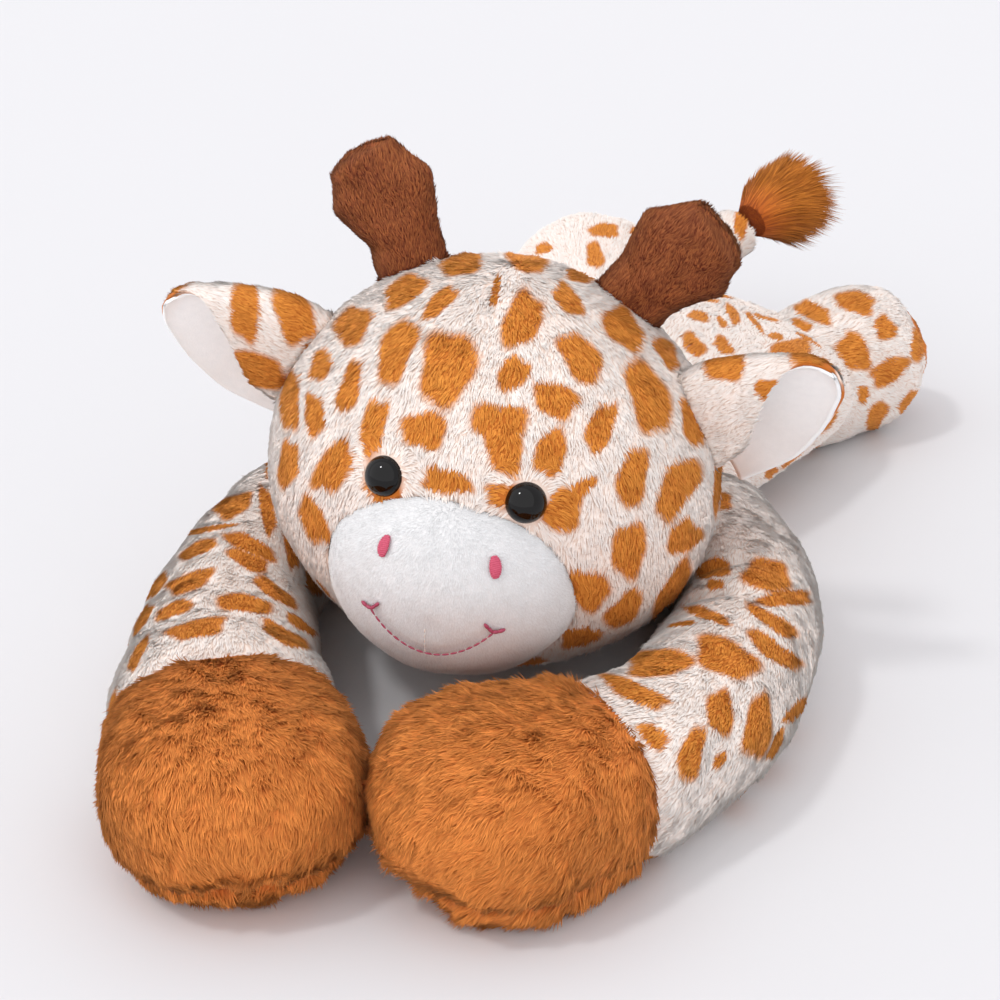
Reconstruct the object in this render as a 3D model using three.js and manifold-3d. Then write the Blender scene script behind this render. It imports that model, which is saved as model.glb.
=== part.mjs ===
// Weighted plush giraffe, lying on its belly with its forelegs folded in front of it.
// Millimetres, +Z up, face towards -Y. The origin is the middle of the flat under the belly.
// "left" and "right" are the toy's own: its left side is +X.
import * as THREE from 'three';
import { mergeVertices } from 'three/addons/utils/BufferGeometryUtils.js';
import Module from 'manifold-3d';

const wasm = await Module();
wasm.setup();

// Cloth and clearances
const plush = 5; // backing and pile together
const velboa = 3; // the short smooth cloth of the muzzle and the ear linings
const pouchCloth = 1.2;
const seamGap = 0.35; // between pieces sewn or laid against each other
const swingGap = 0.6; // between a limb's round root and its socket
const floorCut = 0.5; // depth of the flat pressed under what lies on the floor
const surfaceTolerance = 0.1; // by which a finished surface may be simplified
const cuttingReach = 1200; // size of a cutting block, larger than the whole toy

// Head
const headHeight = 100; // centre of the head above the floor
const headForward = 175; // centre of the head ahead of the belly's middle
const headHalfWidth = 94;
const headHalfDepth = 85; // also the radius of its round back, where the neck sits
const headHalfHeight = 84;
const headTaper = 0.05; // how much narrower the crown is than the cheeks
const headYaw = 10; // degrees, towards the toy's left
const headRoll = 5; // degrees, left cheek down

// How far the head turns and nods from this pose, in degrees
const headTurns = [-20, 5];
const headNods = [-20, 3];

// Neck, a short round pad between two balls about the head's centre
const neckTilt = 30; // degrees below level, from the head back to the body
const neckLength = 13;
const neckHalfAngle = 33; // degrees, seen from the head's centre
const neckWallAngle = 9; // degrees taken by the plush ring round the stuffing
const neckFade = [51, 75]; // degrees from the neck over which the head's round back ends
const neckThread = 0.9; // radius of the thread that closes the neck

// Muzzle, an oval of smooth cloth
const muzzleSink = 25; // how far its middle lies behind the front of the head
const muzzleBelow = 16;
const muzzleHalfWidth = 51;
const muzzleHalfDepth = 42;
const muzzleHalfHeight = 45;

// Eyes: a dome on a post, sunk in the pile and held inside by a washer
const eyeRadius = 8;
const eyeHeight = 7;
const eyeSink = 2;
const eyeAzimuth = 20; // degrees each side of the middle
const eyeElevation = 17;
const eyePostRadius = 2.2;
const eyePostLength = 12;
const washerRadius = 8.5;
const washerThickness = 2;

// Embroidery on the muzzle, in degrees seen from the muzzle's centre
const nostrilHalfWidth = 2.3;
const nostrilHalfHeight = 4.4;
const nostrilRise = 1.5; // how far the satin stitch stands out
const nostrilAzimuth = 34;
const nostrilElevation = 28;
const mouthAzimuth = 33;
const mouthEndElevation = -6;
const mouthMiddleElevation = -26;
const mouthThread = 0.8;
const mouthFork = 5; // degrees from a mouth corner to the tips of its fork

// Horns, flat hammer-headed pillows
const hornAzimuth = 115; // degrees from the face
const hornElevation = 55;
const hornLeans = { left: 23, right: 15 }; // degrees outwards from upright; the left one has flopped
const hornBends = { left: 16, right: 14 }; // how far the tip bends outwards from that line
const hornBacks = { left: -10, right: -2 }; // degrees backwards from upright
const hornLength = 50;
const hornBaseHalfWidth = 15;
const hornHeadHalfWidth = 22;
const hornTipHalfWidth = 14;
const hornThickness = 22;
const hornShares = [0, 0.4, 0.72, 1]; // where along it the base, waist, head and tip are
const hornCloth = 4;
const hornSink = 14; // how far its shape runs on into the head before it is cut

// Ears: a plush panel outside and a smooth lining, rolled over at the top. Each row is a section:
// its half height, its half depth and how far round the plush rolls, where 90 is the top edge.
const earAzimuth = 94;
const earElevations = { left: 16, right: 12.5 };
const earLength = 59;
const earStations = [
  { halfHeight: 29, halfDepth: 13, rollEnd: 190 },
  { halfHeight: 30, halfDepth: 12, rollEnd: 185 },
  { halfHeight: 23, halfDepth: 9, rollEnd: 150 },
  { halfHeight: 8, halfDepth: 6, rollEnd: 80 },
];
const earRollStart = -75; // the hanging lower edge
const earPlush = 3.5;
const earSink = 10; // how far its shape runs on into the head before it is cut
const earSpreads = { left: 1, right: 1.18 }; // the right ear is opened flatter, so it is higher
const earLifts = { left: 42, right: 27 }; // degrees above level
const earForward = 16; // degrees forward from straight sideways
const earTurn = 20; // degrees its closed side leans up from facing backwards

// Body, a pear lying on its side: one row for each station from the chest to the rump
const bodyStations = [
  { back: -122, halfWidth: 44, height: 78 },
  { back: -90, halfWidth: 58, height: 88 },
  { back: -40, halfWidth: 68, height: 92 },
  { back: 10, halfWidth: 84, height: 92 },
  { back: 55, halfWidth: 93, height: 82 },
  { back: 95, halfWidth: 76, height: 70 },
  { back: 128, halfWidth: 50, height: 56 },
];
const bodySquareness = 2.1;
const bodyRound = 36; // length over which each end rounds off

// Forelegs, with the hooves that end them. A path runs from the shoulder to the hoof's middle.
const shoulder = { side: 66, back: -86 };
const forelegRadius = 31; // at the shoulder, where the root is a ball
const forelegMidRadius = 33;
const wristHalfWidths = { left: 35, right: 42 }; // before the hoof; the right one is squashed wider
const hoofHalfWidth = 51;
const hoofHeight = 70;
const hoofSquareness = 3; // of its section, where 2 is an ellipse
const hoofLength = 94; // of the brown plush, along the leg
const soleHeight = 15; // seam between the hoof's top and its sole
const leftForelegPath = [
  { side: 98, back: -134 },
  { side: 109, back: -196 },
  { side: 98, back: -256 },
  { side: 59, back: -306 },
];
const rightForelegPath = [
  { side: 102, back: -130 },
  { side: 104, back: -202 },
  { side: 75, back: -277 },
  { side: 35, back: -338 },
];

// Hind legs, short and round, with a brown pad on each sole
const hip = { side: 52, back: 80 };
const hindLegRadius = 34;
const hindFootRadius = 38;
const hindFootHalfWidths = { left: 38, right: 46 }; // the right foot is squashed wider
const leftHindFoot = { side: 77, back: 118 };
const rightHindFoot = { side: 84, back: 161 };
const hindPadLength = 14;
const hindLegSwing = 15; // degrees outwards

// Tail
const tailRoot = { side: -14, back: 106, height: 57 };
const tailRadius = 14;
const tailSwing = 15; // degrees each way
const tailPath = [
  { side: -10, back: 148, height: 73 },
  { side: 3, back: 176, height: 82 },
];
const tuftLength = 54;
const tuftRadius = 23;
const tuftLocks = 7;
const tuftLockLength = 12;
const tuftLockRadius = 8;
const tuftLockRise = 1.6; // how far a lock points along the tail for each millimetre outwards

// Weights: flat pouches of glass beads on the floor side of the stuffing
const bodyPouch = { halfWidth: 52, halfLength: 58, height: 46 };
const bodyPouchBack = -12;
const hoofPouch = { halfWidth: 34, halfLength: 32, height: 28 };
const footPouch = { halfWidth: 26, halfLength: 24, height: 24 };
const pouchPort = 5; // radius of the filling hole in the cloth
const pouchSquash = 0.65; // a pouch's half height before it is pressed flat, as a share of its height

const finishes = {
  spottedPlush: { color: 0xeac9a4, roughness: 0.95 },
  brownPlush: { color: 0xbf7838, roughness: 0.95 },
  hornPlush: { color: 0x8a5230, roughness: 0.95 },
  whiteVelboa: { color: 0xf4f1f0, roughness: 0.9 },
  tuftPile: { color: 0xc3832d, roughness: 0.95 },
  blackPlastic: { color: 0x0b0a0a, roughness: 0.08 },
  washerPlastic: { color: 0xe8e6e0, roughness: 0.5 },
  roseThread: { color: 0xc9506a, roughness: 0.6 },
  paleThread: { color: 0xf0e2da, roughness: 0.7 },
  stuffing: { color: 0xfafafa, roughness: 1 },
  pouchCotton: { color: 0xe6e1d6, roughness: 0.95 },
  glassBeads: { color: 0xcfd8dc, roughness: 0.25 },
};

const { degToRad, radToDeg, lerp, clamp, smoothstep } = THREE.MathUtils;
const vector = (x, y, z) => new THREE.Vector3(x, y, z);
const up = vector(0, 0, 1);

const toy = new THREE.Group();
const headPlace = vector(0, -headForward, headHeight);
const head = new THREE.Group();
head.position.copy(headPlace);
head.rotation.set(0, degToRad(headRoll), degToRad(headYaw), 'ZXY');
toy.add(head);

// Closed three.js geometry to a solid, without the faces that have no area.
function solidOf(geometry) {
  const bare = new THREE.BufferGeometry();
  bare.setAttribute('position', geometry.attributes.position);
  bare.setIndex(geometry.index);
  const merged = mergeVertices(bare, 1e-4);
  const corners = merged.index.array;
  const kept = [];
  for (let i = 0; i < corners.length; i += 3) {
    const [a, b, c] = corners.slice(i, i + 3);
    if (a !== b && b !== c && a !== c) kept.push(a, b, c);
  }
  return new wasm.Manifold(new wasm.Mesh({
    numProp: 3,
    vertProperties: new Float32Array(merged.attributes.position.array),
    triVerts: new Uint32Array(kept),
  }));
}

function geometryOf(solid) {
  const mesh = solid.getMesh();
  const geometry = new THREE.BufferGeometry();
  geometry.setAttribute('position', new THREE.BufferAttribute(new Float32Array(mesh.vertProperties), 3));
  geometry.setIndex(new THREE.BufferAttribute(new Uint32Array(mesh.triVerts), 1));
  geometry.computeVertexNormals();
  return geometry;
}

function addPiece(group, name, solid, finish) {
  const material = new THREE.MeshStandardMaterial({ metalness: 0, ...finishes[finish] });
  const mesh = new THREE.Mesh(geometryOf(solid.simplify(surfaceTolerance)), material);
  mesh.name = name;
  group.add(mesh);
}

const cut = (solid, ...tools) => tools.reduce((left, tool) => left.subtract(tool), solid);
const moved = (solid, matrix) => solid.transform(matrix.elements);

// A ball whose radius depends on the direction.
function ballForm(radiusAlong, detail) {
  const geometry = new THREE.IcosahedronGeometry(1, detail);
  const places = geometry.attributes.position;
  const direction = vector();
  for (let i = 0; i < places.count; i += 1) {
    direction.fromBufferAttribute(places, i).normalize();
    const radius = radiusAlong(direction);
    places.setXYZ(i, direction.x * radius, direction.y * radius, direction.z * radius);
  }
  return solidOf(geometry);
}

const ellipsoidRadius = ({ x, y, z }, a, b, c) => 1 / Math.hypot(x / a, y / b, z / c);

function ellipsoid(a, b, c, detail, place = vector()) {
  return ballForm((direction) => ellipsoidRadius(direction, a, b, c), detail).translate(place.toArray());
}

// How far the flat facets of a ball lie inside its round surface.
const facetSag = (radius, detail) => radius * (1 - Math.cos(degToRad(42 / (detail + 1))));

// A ball of flat facets that clears a round one of the same radius inside it.
function socketBall(radius, detail, place) {
  const around = radius + facetSag(radius, detail);
  return ellipsoid(around, around, around, detail, place);
}

// Direction seen from a centre: azimuth from straight ahead (-Y) towards the left (+X).
function directionOf(azimuth, elevation) {
  const flat = Math.cos(degToRad(elevation));
  const turn = degToRad(azimuth);
  return vector(Math.sin(turn) * flat, -Math.cos(turn) * flat, Math.sin(degToRad(elevation)));
}

// Everything on the inner side of a plane whose normal points outwards.
function halfSpace(place, outward) {
  const reach = cuttingReach;
  const box = new THREE.BoxGeometry(reach, reach, reach).translate(0, 0, -reach / 2);
  box.applyQuaternion(new THREE.Quaternion().setFromUnitVectors(up, outward.clone().normalize()));
  return solidOf(box.translate(place.x, place.y, place.z));
}

const underFloor = halfSpace(vector(0, 0, 0), up);

function cylinder(radius, length, place, direction, sides) {
  const tool = new THREE.CylinderGeometry(radius, radius, length, sides).translate(0, length / 2, 0);
  tool.applyQuaternion(new THREE.Quaternion().setFromUnitVectors(vector(0, 1, 0), direction));
  return solidOf(tool.translate(place.x, place.y, place.z));
}

// Frame with its Y along one direction and its Z as near as it can be to another.
function frameAt(place, along, facing) {
  const y = along.clone().normalize();
  const x = vector().crossVectors(y, facing).normalize();
  const z = vector().crossVectors(x, y);
  return new THREE.Matrix4().makeBasis(x, y, z).setPosition(place);
}

// Stuffed tube along a path, closed by round ends. girths holds a half width and a half height
// for each path point, with how square its section is where that differs, and inset draws every
// surface in, as the inside of a cover is.
function stuffedForm({ path, girths, rings, sides, startRound, endRound, squareness = 2 }, inset = 0) {
  const route = new THREE.CatmullRomCurve3(path, false, 'centripetal');
  const girth = new THREE.CatmullRomCurve3(girths.map(([wide, high, square = squareness]) => (
    vector(wide, high, square)
  )));
  const whole = route.getLength();
  const length = whole - 2 * inset;
  const rounds = [Math.max(startRound - inset, 0.1), Math.max(endRound - inset, 0.1)];
  const capRings = 3;
  const capStep = (i) => 1 - Math.cos((i / capRings) * (Math.PI / 2));
  const distances = [];
  for (let i = 0; i <= capRings; i += 1) distances.push(rounds[0] * capStep(i));
  const straight = length - rounds[0] - rounds[1];
  for (let i = 1; i < rings; i += 1) distances.push(rounds[0] + (straight * i) / rings);
  for (let i = capRings; i >= 0; i -= 1) distances.push(length - rounds[1] * capStep(i));
  const rounded = (distance, round) => Math.sqrt(Math.max(0, 1 - Math.max(0, 1 - distance / round) ** 2));
  const power = (value, square) => Math.sign(value) * Math.abs(value) ** (2 / square);
  const positions = [];
  const indices = [];
  distances.forEach((distance, ring) => {
    const t = route.getUtoTmapping(clamp((distance + inset) / whole, 0, 1));
    const ahead = route.getTangent(t);
    const sideways = vector().crossVectors(ahead, up).normalize();
    const upwards = vector().crossVectors(sideways, ahead);
    const size = girth.getPoint(t);
    const isPole = ring === 0 || ring === distances.length - 1;
    const ends = [rounded(distance, rounds[0]), rounded(length - distance, rounds[1])];
    const share = isPole ? 0 : Math.min(...ends);
    for (let k = 0; k < sides; k += 1) {
      const angle = ((k + 0.5) / sides) * Math.PI * 2;
      const place = route.getPoint(t);
      place.addScaledVector(sideways, power(Math.cos(angle), size.z) * (size.x - inset) * share);
      place.addScaledVector(upwards, power(Math.sin(angle), size.z) * (size.y - inset) * share);
      positions.push(...place.toArray());
      const a = ring * sides + k;
      const b = ring * sides + ((k + 1) % sides);
      if (ring + 1 < distances.length) indices.push(a, b + sides, b, a, a + sides, b + sides);
    }
  });
  const geometry = new THREE.BufferGeometry();
  geometry.setAttribute('position', new THREE.Float32BufferAttribute(positions, 3));
  geometry.setIndex(indices);
  return solidOf(geometry);
}

// Head: a full-cheeked ball whose back is round about the head's centre, for the neck to sit on.
const neckDirection = vector(0, Math.cos(degToRad(neckTilt)), -Math.sin(degToRad(neckTilt)));

function headRadius(direction) {
  const halfWidth = headHalfWidth * (1 - headTaper * direction.z);
  const free = ellipsoidRadius(direction, halfWidth, headHalfDepth, headHalfHeight);
  const fade = smoothstep(radToDeg(direction.angleTo(neckDirection)), ...neckFade);
  return lerp(headHalfDepth, free, fade);
}

// How finely the rounded surfaces are divided, outside and inside
const coverDetail = 4;
const liningDetail = 3;

const headForm = (growth, detail) => ballForm((direction) => headRadius(direction) + growth, detail);
const onHead = (direction, growth = 0) => direction.clone().multiplyScalar(headRadius(direction) + growth);

// The space that the head takes over its whole range, in the toy's own frame.
function headSweep() {
  const atRest = head.quaternion.clone().invert();
  const turns = [];
  for (const turn of [...headTurns, 0]) {
    for (const nod of [...headNods, 0]) {
      const yaw = new THREE.Quaternion().setFromAxisAngle(up, -degToRad(turn));
      const pitch = new THREE.Quaternion().setFromAxisAngle(vector(1, 0, 0), -degToRad(nod));
      turns.push(pitch.multiply(atRest.clone().multiply(yaw)));
    }
  }
  const reach = (direction) => {
    const radii = turns.map((turn) => headRadius(direction.clone().applyQuaternion(turn)));
    return Math.max(...radii) + 2 * swingGap;
  };
  return ballForm(reach, coverDetail).translate(headPlace.toArray());
}

const muzzlePlace = vector(0, muzzleSink - headHalfDepth, -muzzleBelow);
const muzzleSizes = [muzzleHalfWidth, muzzleHalfDepth, muzzleHalfHeight];

function muzzleForm(growth, detail) {
  return ellipsoid(...muzzleSizes.map((size) => size + growth), detail, muzzlePlace);
}

// A place on the muzzle and its outward normal.
function onMuzzle(azimuth, elevation, growth = 0) {
  const direction = directionOf(azimuth, elevation);
  const offset = direction.multiplyScalar(ellipsoidRadius(direction, ...muzzleSizes));
  const normal = vector(...offset.toArray().map((value, i) => value / muzzleSizes[i] ** 2)).normalize();
  return { place: muzzlePlace.clone().add(offset).addScaledVector(normal, growth), normal };
}

function buildHead() {
  const posts = [];
  const seats = [];
  const washers = [];
  const domeSteps = 4;
  for (const [name, sign] of [['left', 1], ['right', -1]]) {
    const outward = directionOf(sign * eyeAzimuth, eyeElevation);
    const seat = onHead(outward, -eyeSink);
    const dome = [
      vector(0, -eyePostLength),
      vector(eyePostRadius, -eyePostLength),
      vector(eyePostRadius, 0),
    ];
    for (let i = 0; i <= domeSteps; i += 1) {
      const angle = (i / domeSteps) * (Math.PI / 2);
      dome.push(vector(eyeRadius * Math.cos(angle), eyeHeight * Math.sin(angle)));
    }
    dome[dome.length - 1].x = 0;
    const eye = solidOf(new THREE.LatheGeometry(dome, 12));
    const pose = frameAt(seat, outward, up);
    addPiece(head, `${name}_eye`, moved(eye, pose), 'blackPlastic');
    const postEnd = onHead(outward, -eyeSink - eyePostLength - seamGap);
    posts.push(cylinder(eyePostRadius + seamGap, eyePostLength + eyeHeight, postEnd, outward, 8));
    const seatFloor = onHead(outward, -eyeSink - seamGap);
    seats.push(cylinder(eyeRadius + seamGap, eyeHeight + eyeSink, seatFloor, outward, 12));
    const washerSag = washerRadius ** 2 / headHalfDepth; // the cover curves away behind a flat washer
    const washerFace = plush + seamGap + washerSag + facetSag(headHalfWidth, liningDetail);
    const washerBack = onHead(outward, -washerFace - washerThickness);
    const washer = cylinder(washerRadius, washerThickness, washerBack, outward, 8);
    washerBack.addScaledVector(outward, -seamGap);
    washers.push(cylinder(washerRadius + seamGap, washerThickness + 2 * seamGap, washerBack, outward, 8));
    addPiece(head, `${name}_eye_washer`, cut(washer, posts.at(-1)), 'washerPlastic');
  }
  const neckHole = headHalfDepth * Math.sin(degToRad(neckHalfAngle - neckWallAngle));
  const neckTool = cylinder(neckHole, headHalfDepth * 2, vector(0, 0, 0), neckDirection, 14);
  const inside = headForm(-plush, liningDetail);
  const holes = [muzzleForm(seamGap, liningDetail), neckTool, ...posts, ...seats];
  addPiece(head, 'head_cover', cut(headForm(0, coverDetail), inside, ...holes), 'spottedPlush');
  const muzzleInside = muzzleForm(-velboa, liningDetail - 1);
  addPiece(head, 'muzzle_cover', cut(muzzleForm(0, liningDetail), muzzleInside, inside), 'whiteVelboa');
  const muzzleFilling = muzzleForm(-velboa - seamGap, liningDetail - 1);
  const filling = headForm(-plush - seamGap, liningDetail).add(muzzleFilling);
  addPiece(head, 'head_filling', cut(filling, ...posts, ...washers), 'stuffing');
}

function buildEmbroidery() {
  const clear = muzzleForm(seamGap, liningDetail);
  for (const [name, sign] of [['left', 1], ['right', -1]]) {
    const { place, normal } = onMuzzle(sign * nostrilAzimuth, nostrilElevation);
    const stitch = ellipsoid(nostrilHalfWidth, nostrilHalfHeight, nostrilRise + seamGap, 1);
    const pose = frameAt(place, up.clone().projectOnPlane(normal), normal);
    addPiece(head, `${name}_nostril`, cut(moved(stitch, pose), clear), 'roseThread');
  }
  const lift = mouthThread + 2 * seamGap;
  const thread = (points) => stuffedForm({
    path: points.map(([azimuth, elevation]) => onMuzzle(azimuth, elevation, lift).place),
    girths: points.map(() => [mouthThread, mouthThread]),
    rings: points.length + 1,
    sides: 4,
    startRound: mouthThread,
    endRound: mouthThread,
  });
  const smile = [];
  const steps = 6;
  for (let i = -steps / 2; i <= steps / 2; i += 1) {
    const share = i / (steps / 2);
    smile.push([share * mouthAzimuth, lerp(mouthMiddleElevation, mouthEndElevation, share ** 2)]);
  }
  let mouth = thread(smile);
  for (const sign of [1, -1]) {
    const corner = [sign * mouthAzimuth, mouthEndElevation];
    mouth = mouth.add(thread([
      [corner[0] - sign * mouthFork, corner[1] + mouthFork],
      corner,
      [corner[0] + sign * mouthFork, corner[1] + mouthFork / 3],
    ]));
  }
  addPiece(head, 'mouth', mouth, 'roseThread');
}

function buildHorns() {
  const clear = headForm(seamGap, coverDetail);
  const span = hornSink + hornLength;
  const form = (bend) => ({
    path: hornShares.map((share) => vector(bend * share ** 2, share * span - hornSink, 0)),
    girths: [
      [hornBaseHalfWidth, hornThickness / 2],
      [hornBaseHalfWidth, hornThickness / 2],
      [hornHeadHalfWidth, hornThickness / 2],
      [hornTipHalfWidth, hornThickness / 2],
    ],
    rings: 5,
    sides: 10,
    startRound: 2,
    endRound: hornThickness / 2,
  });
  for (const [name, sign] of [['left', 1], ['right', -1]]) {
    const bent = form(sign * hornBends[name]);
    const base = onHead(directionOf(sign * hornAzimuth, hornElevation));
    const lean = sign * Math.tan(degToRad(hornLeans[name]));
    const pose = frameAt(base, vector(lean, Math.tan(degToRad(hornBacks[name])), 1), vector(0, -1, 0));
    const shell = cut(stuffedForm(bent), stuffedForm(bent, hornCloth));
    addPiece(head, `${name}_horn_cover`, cut(moved(shell, pose), clear), 'hornPlush');
    const filling = stuffedForm(bent, hornCloth + seamGap);
    addPiece(head, `${name}_horn_filling`, cut(moved(filling, pose), clear), 'stuffing');
  }
}

// One panel of an ear. Y runs along the ear and Z to its closed side; near and far are the two
// faces' distances from the seam surface between plush and lining.
function earPanel(near, far, spread) {
  const along = 5;
  const across = 7;
  const sizes = new THREE.CatmullRomCurve3(earStations.map(({ halfHeight, halfDepth, rollEnd }) => (
    vector(halfHeight * spread, halfDepth, rollEnd)
  )));
  const positions = [];
  for (const face of [near, far]) {
    for (let i = 0; i <= along; i += 1) {
      const size = sizes.getPoint(i / along);
      for (let j = 0; j <= across; j += 1) {
        const angle = degToRad(lerp(earRollStart, size.z, j / across));
        const normal = vector(Math.sin(angle) * size.y, 0, Math.cos(angle) * size.x).normalize();
        const out = lerp(-earSink, earLength, i / along);
        const place = vector(Math.sin(angle) * size.x, out, Math.cos(angle) * size.y);
        positions.push(...place.addScaledVector(normal, face).toArray());
      }
    }
  }
  const indices = [];
  const row = across + 1;
  const sheet = (along + 1) * row;
  const quad = (a, b, c, d) => indices.push(a, b, c, a, c, d);
  for (let i = 0; i < along; i += 1) {
    for (let j = 0; j < across; j += 1) {
      const a = i * row + j;
      quad(a, a + row, a + row + 1, a + 1);
      quad(sheet + a, sheet + a + 1, sheet + a + row + 1, sheet + a + row);
    }
    const start = i * row;
    const end = start + across;
    quad(start, sheet + start, sheet + start + row, start + row);
    quad(end, end + row, sheet + end + row, sheet + end);
  }
  for (let j = 0; j < across; j += 1) {
    const last = along * row + j;
    quad(j, j + 1, sheet + j + 1, sheet + j);
    quad(last, sheet + last, sheet + last + 1, last + 1);
  }
  const geometry = new THREE.BufferGeometry();
  geometry.setAttribute('position', new THREE.Float32BufferAttribute(positions, 3));
  geometry.setIndex(indices);
  return solidOf(geometry);
}

function buildEars() {
  const clear = headForm(seamGap, coverDetail);
  for (const [name, sign] of [['left', 1], ['right', -1]]) {
    const outward = directionOf(sign * earAzimuth, earElevations[name]);
    const along = directionOf(sign * (90 - earForward), earLifts[name]);
    const turn = degToRad(earTurn);
    const pose = frameAt(onHead(outward), along, vector(0, Math.cos(turn), Math.sin(turn)));
    const panel = (near, far) => {
      const flat = earPanel(near, far, earSpreads[name]);
      return cut(moved(sign > 0 ? flat : flat.mirror([1, 0, 0]), pose), clear);
    };
    addPiece(head, `${name}_ear_outer`, panel(seamGap / 2, earPlush), 'spottedPlush');
    addPiece(head, `${name}_ear_lining`, panel(-velboa, -seamGap / 2), 'whiteVelboa');
  }
}

// Neck: plush ring, stuffing and closing thread, all round about the head's centre.
const neckInner = headHalfDepth + seamGap + facetSag(headHalfDepth, coverDetail);
const neckOuter = headHalfDepth + neckLength;
const neckSocket = socketBall(neckOuter + swingGap, 5, headPlace);

function neckSlice(fromAngle, toAngle, growth = 0) {
  const arcSteps = 2;
  const profile = [];
  const arc = (radius, first, last) => {
    for (let i = 0; i <= arcSteps; i += 1) {
      const angle = degToRad(lerp(first, last, i / arcSteps));
      profile.push(vector(radius * Math.sin(angle), radius * Math.cos(angle)));
    }
  };
  arc(neckInner, fromAngle, toAngle);
  arc(neckOuter + growth, toAngle, fromAngle);
  if (fromAngle > 0) profile.push(profile[0].clone());
  return solidOf(new THREE.LatheGeometry(profile, 16));
}

const neckPose = frameAt(headPlace, neckDirection, up);

// The space that the neck and its thread take as they turn with the head.
function neckSweep() {
  const threadAngle = radToDeg((2 * neckThread + seamGap) / neckOuter);
  const space = moved(neckSlice(0, neckHalfAngle + 2 * threadAngle, 2 * swingGap), neckPose);
  const centred = space.translate(headPlace.clone().negate().toArray());
  const steps = 3;
  return Array.from({ length: steps + 1 }, (_, i) => (
    centred.rotate([0, 0, lerp(...headTurns, i / steps)]).translate(headPlace.toArray())
  ));
}

function buildNeck() {
  const coreAngle = neckHalfAngle - neckWallAngle;
  const coreGap = radToDeg(seamGap / neckInner);
  addPiece(toy, 'neck_cover', moved(neckSlice(coreAngle, neckHalfAngle), neckPose), 'spottedPlush');
  addPiece(toy, 'neck_filling', moved(neckSlice(0, coreAngle - coreGap), neckPose), 'stuffing');
  const threadPlace = neckOuter - neckThread;
  const threadAngle = degToRad(neckHalfAngle) + (neckThread + seamGap) / threadPlace;
  const ring = new THREE.TorusGeometry(threadPlace * Math.sin(threadAngle), neckThread, 4, 16);
  ring.rotateX(Math.PI / 2).translate(0, threadPlace * Math.cos(threadAngle), 0);
  addPiece(toy, 'neck_seam', moved(solidOf(ring), neckPose), 'paleThread');
}

// A flat pouch of beads on the inside of a cover's floor, and the pocket it fills in the stuffing.
function pouchIn(form, place, { halfWidth, halfLength, height }, turn) {
  const floor = plush - floorCut + seamGap;
  const halfHeight = height * pouchSquash;
  const centre = vector(place.x, place.y, floor + height - halfHeight);
  const cushion = (growth) => ellipsoid(halfWidth + growth, halfLength + growth, halfHeight + growth, 1)
    .rotate([0, 0, turn]).translate(centre.toArray());
  const within = (inset) => cushion(-inset).intersect(stuffedForm(form, plush + seamGap + inset));
  const port = cylinder(pouchPort, height, centre, up, 8);
  return {
    pocket: cushion(seamGap),
    pouch: cut(within(0), within(pouchCloth), port),
    beads: within(pouchCloth + seamGap),
  };
}

function addWeighted(group, names, form, place, sizes, turn) {
  const { pocket, pouch, beads } = pouchIn(form, place, sizes, turn);
  addPiece(group, names.pouch, pouch, 'pouchCotton');
  addPiece(group, names.beads, beads, 'glassBeads');
  return pocket;
}

// Height of the middle of a form that lies on the floor.
const lying = (halfHeight) => halfHeight - floorCut;

function forelegForm(sign, stops, wristHalfWidth) {
  const root = vector(sign * shoulder.side, shoulder.back, lying(forelegRadius));
  const places = stops.map(({ side, back }, i) => {
    const halfHeight = i < stops.length - 1 ? forelegMidRadius : hoofHeight / 2;
    return vector(sign * side, back, lying(halfHeight));
  });
  const away = root.clone().sub(places[0]).setZ(0).setLength(forelegRadius);
  const onward = places.at(-1).clone().sub(places.at(-2)).setZ(0).setLength(hoofHalfWidth);
  return {
    path: [root.clone().add(away), root, ...places, places.at(-1).clone().add(onward)],
    girths: [
      [forelegRadius, forelegRadius],
      [forelegRadius, forelegRadius],
      [forelegRadius, forelegMidRadius],
      [forelegMidRadius, forelegMidRadius],
      [wristHalfWidth, forelegMidRadius],
      [hoofHalfWidth, hoofHeight / 2, hoofSquareness],
      [hoofHalfWidth, hoofHeight / 2, hoofSquareness],
    ],
    rings: 8,
    sides: 10,
    startRound: forelegRadius,
    endRound: hoofHalfWidth,
  };
}

const hindForm = (sign, { side, back }, footHalfWidth) => {
  const root = vector(sign * hip.side, hip.back, lying(hindLegRadius));
  const foot = vector(sign * side, back, lying(hindFootRadius));
  const along = foot.clone().sub(root).setZ(0);
  return {
    path: [
      root.clone().sub(along.clone().setLength(hindLegRadius)),
      root,
      foot,
      foot.clone().add(along.clone().setLength(hindFootRadius)),
    ],
    girths: [
      [hindLegRadius, hindLegRadius],
      [hindLegRadius, hindLegRadius],
      [footHalfWidth, hindFootRadius],
      [footHalfWidth, hindFootRadius],
    ],
    rings: 2,
    sides: 10,
    startRound: hindLegRadius,
    endRound: hindFootRadius,
  };
};

const tailStops = [tailRoot, ...tailPath].map(({ side, back, height }) => vector(side, back, height));

const tailForm = () => {
  const away = tailStops[0].clone().sub(tailStops[1]).setLength(tailRadius);
  return {
    path: [tailStops[0].clone().add(away), ...tailStops],
    girths: tailStops.concat(0).map(() => [tailRadius, tailRadius]),
    rings: 3,
    sides: 8,
    startRound: tailRadius,
    endRound: tailRadius / 2,
  };
};

const forelegs = [
  { name: 'left', form: forelegForm(1, leftForelegPath, wristHalfWidths.left) },
  { name: 'right', form: forelegForm(-1, rightForelegPath, wristHalfWidths.right) },
];
const hindLegs = [
  { name: 'left', form: hindForm(1, leftHindFoot, hindFootHalfWidths.left), outward: -1 },
  { name: 'right', form: hindForm(-1, rightHindFoot, hindFootHalfWidths.right), outward: 1 },
];

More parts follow.
